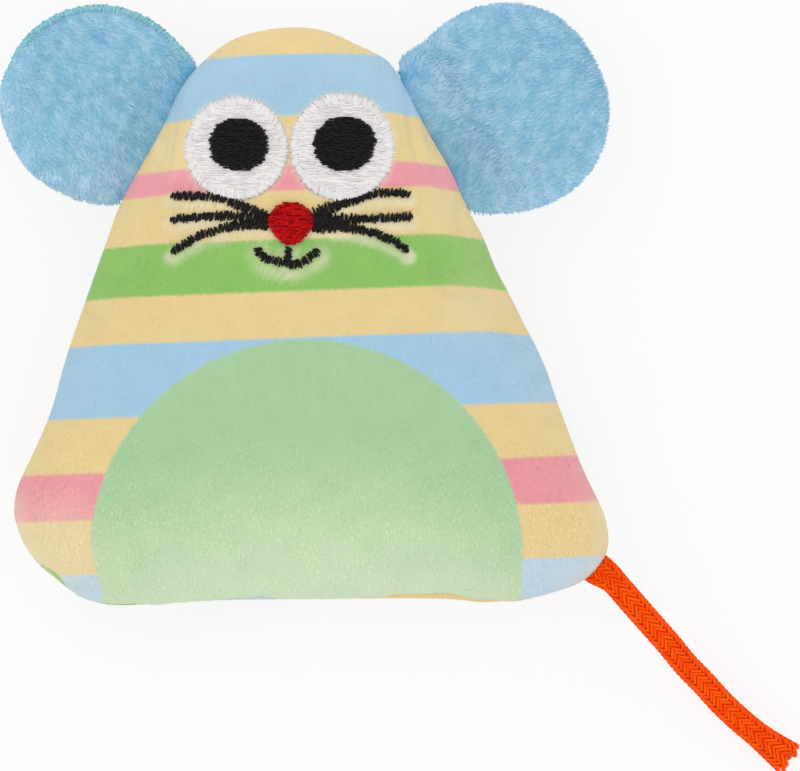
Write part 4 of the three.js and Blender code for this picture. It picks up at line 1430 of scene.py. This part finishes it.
def closing_stitches():
    lines, ups = [], []
    for x in np.arange(*CLOSED_GAP, CLOSING_PITCH):
        turn = np.array(math.atan2(BASE_Y - POLE[1], x - POLE[0]))
        way = np.array([math.cos(turn), math.sin(turn)])
        reach = BODY_REACH(turn)
        drawn = drawn_back(turn, reach)
        out = reach - drawn - SEAM_ROUND + CLOSING_OUT + CLOSING_BULGE * np.cos(CLOSING_WRAP)
        level = SEAM_Z + SEAM_RAISE * drawn + CLOSING_HALF * np.sin(CLOSING_WRAP)
        lines.append(raised(POLE + out[:, None] * way, level))
        ups.append([[*way, 0.0]])
    shape = Shape()
    tubes(shape, lines, ups, CLOSING_RADIUS, shade=RANDOM.random(len(lines)))
    shape.dress("closing_stitches", "closing_stitch", "sewing_thread", sewing_thread)


closing_stitches()


# Pieces inside keep their CAD shape

INSIDE = {
    "catnip_sachet": cloth("sachet_cloth", rgb(168, 176, 120), rgb(206, 210, 164), 1.5),
    "embroidery_backing": cloth("non_woven", rgb(224, 223, 216), rgb(246, 245, 240), 2.0),
    "seam_needle_thread": sewing_thread,
    "seam_bobbin_thread": sewing_thread,
}
for node, material in INSIDE.items():
    frame["nodes"][node].data.materials.clear()
    frame["nodes"][node].data.materials.append(material)


# Floor and light

floor_mesh = bpy.data.meshes.new("floor")
floor_corners = [(x * FLOOR, y * FLOOR, FLOOR_Z) for x, y in ((-1, -1), (1, -1), (1, 1), (-1, 1))]
floor_mesh.from_pydata(floor_corners, [], [(0, 1, 2, 3)])
floor = put("floor", floor_mesh)
floor_finish = Finish("floor", 0.9, 0.0)
floor_mesh.materials.append(floor_finish.colour(FLOOR_WHITE))
seen = 0.0
for ray in ("Is Camera Ray", "Is Glossy Ray", "Is Transmission Ray"):
    seen = floor_finish.math("MAXIMUM", seen, floor_finish.node("ShaderNodeLightPath", output=ray))
floor_nodes = floor_finish.tree.nodes
shaders = {
    0: floor_finish.math("MULTIPLY", seen, FLOOR_GLOW),
    1: floor_nodes["Principled BSDF"].outputs[0],
    2: floor_finish.node("ShaderNodeEmission"),
}
mixed = floor_finish.node("ShaderNodeMixShader", shaders)
floor_finish.give(floor_nodes["Material Output"].inputs[0], mixed)

world = bpy.data.worlds.new("studio")
SCENE.world = world
world.use_nodes = True
sky = world.node_tree.nodes["Background"].inputs
sky["Color"].default_value = (1, 1, 1, 1)
world_nodes = Nodes(world.node_tree)
seen = world_nodes.node("ShaderNodeLightPath", output="Is Camera Ray")
strength = {"Value": seen, "To Min": SKY_STRENGTH, "To Max": 1.0}
world_nodes.give(sky["Strength"], world_nodes.node("ShaderNodeMapRange", strength))

for name, (place, size, power) in LAMPS.items():
    data = bpy.data.lights.new(name, "AREA")
    data.size = size
    data.energy = power
    lamp = put(name, data)
    lamp.location = place
    lamp.rotation_euler = (-Vector(place)).to_track_quat("-Z", "Y").to_euler()

SCENE.view_settings.view_transform = "Standard"

bpy.context.view_layer.update()
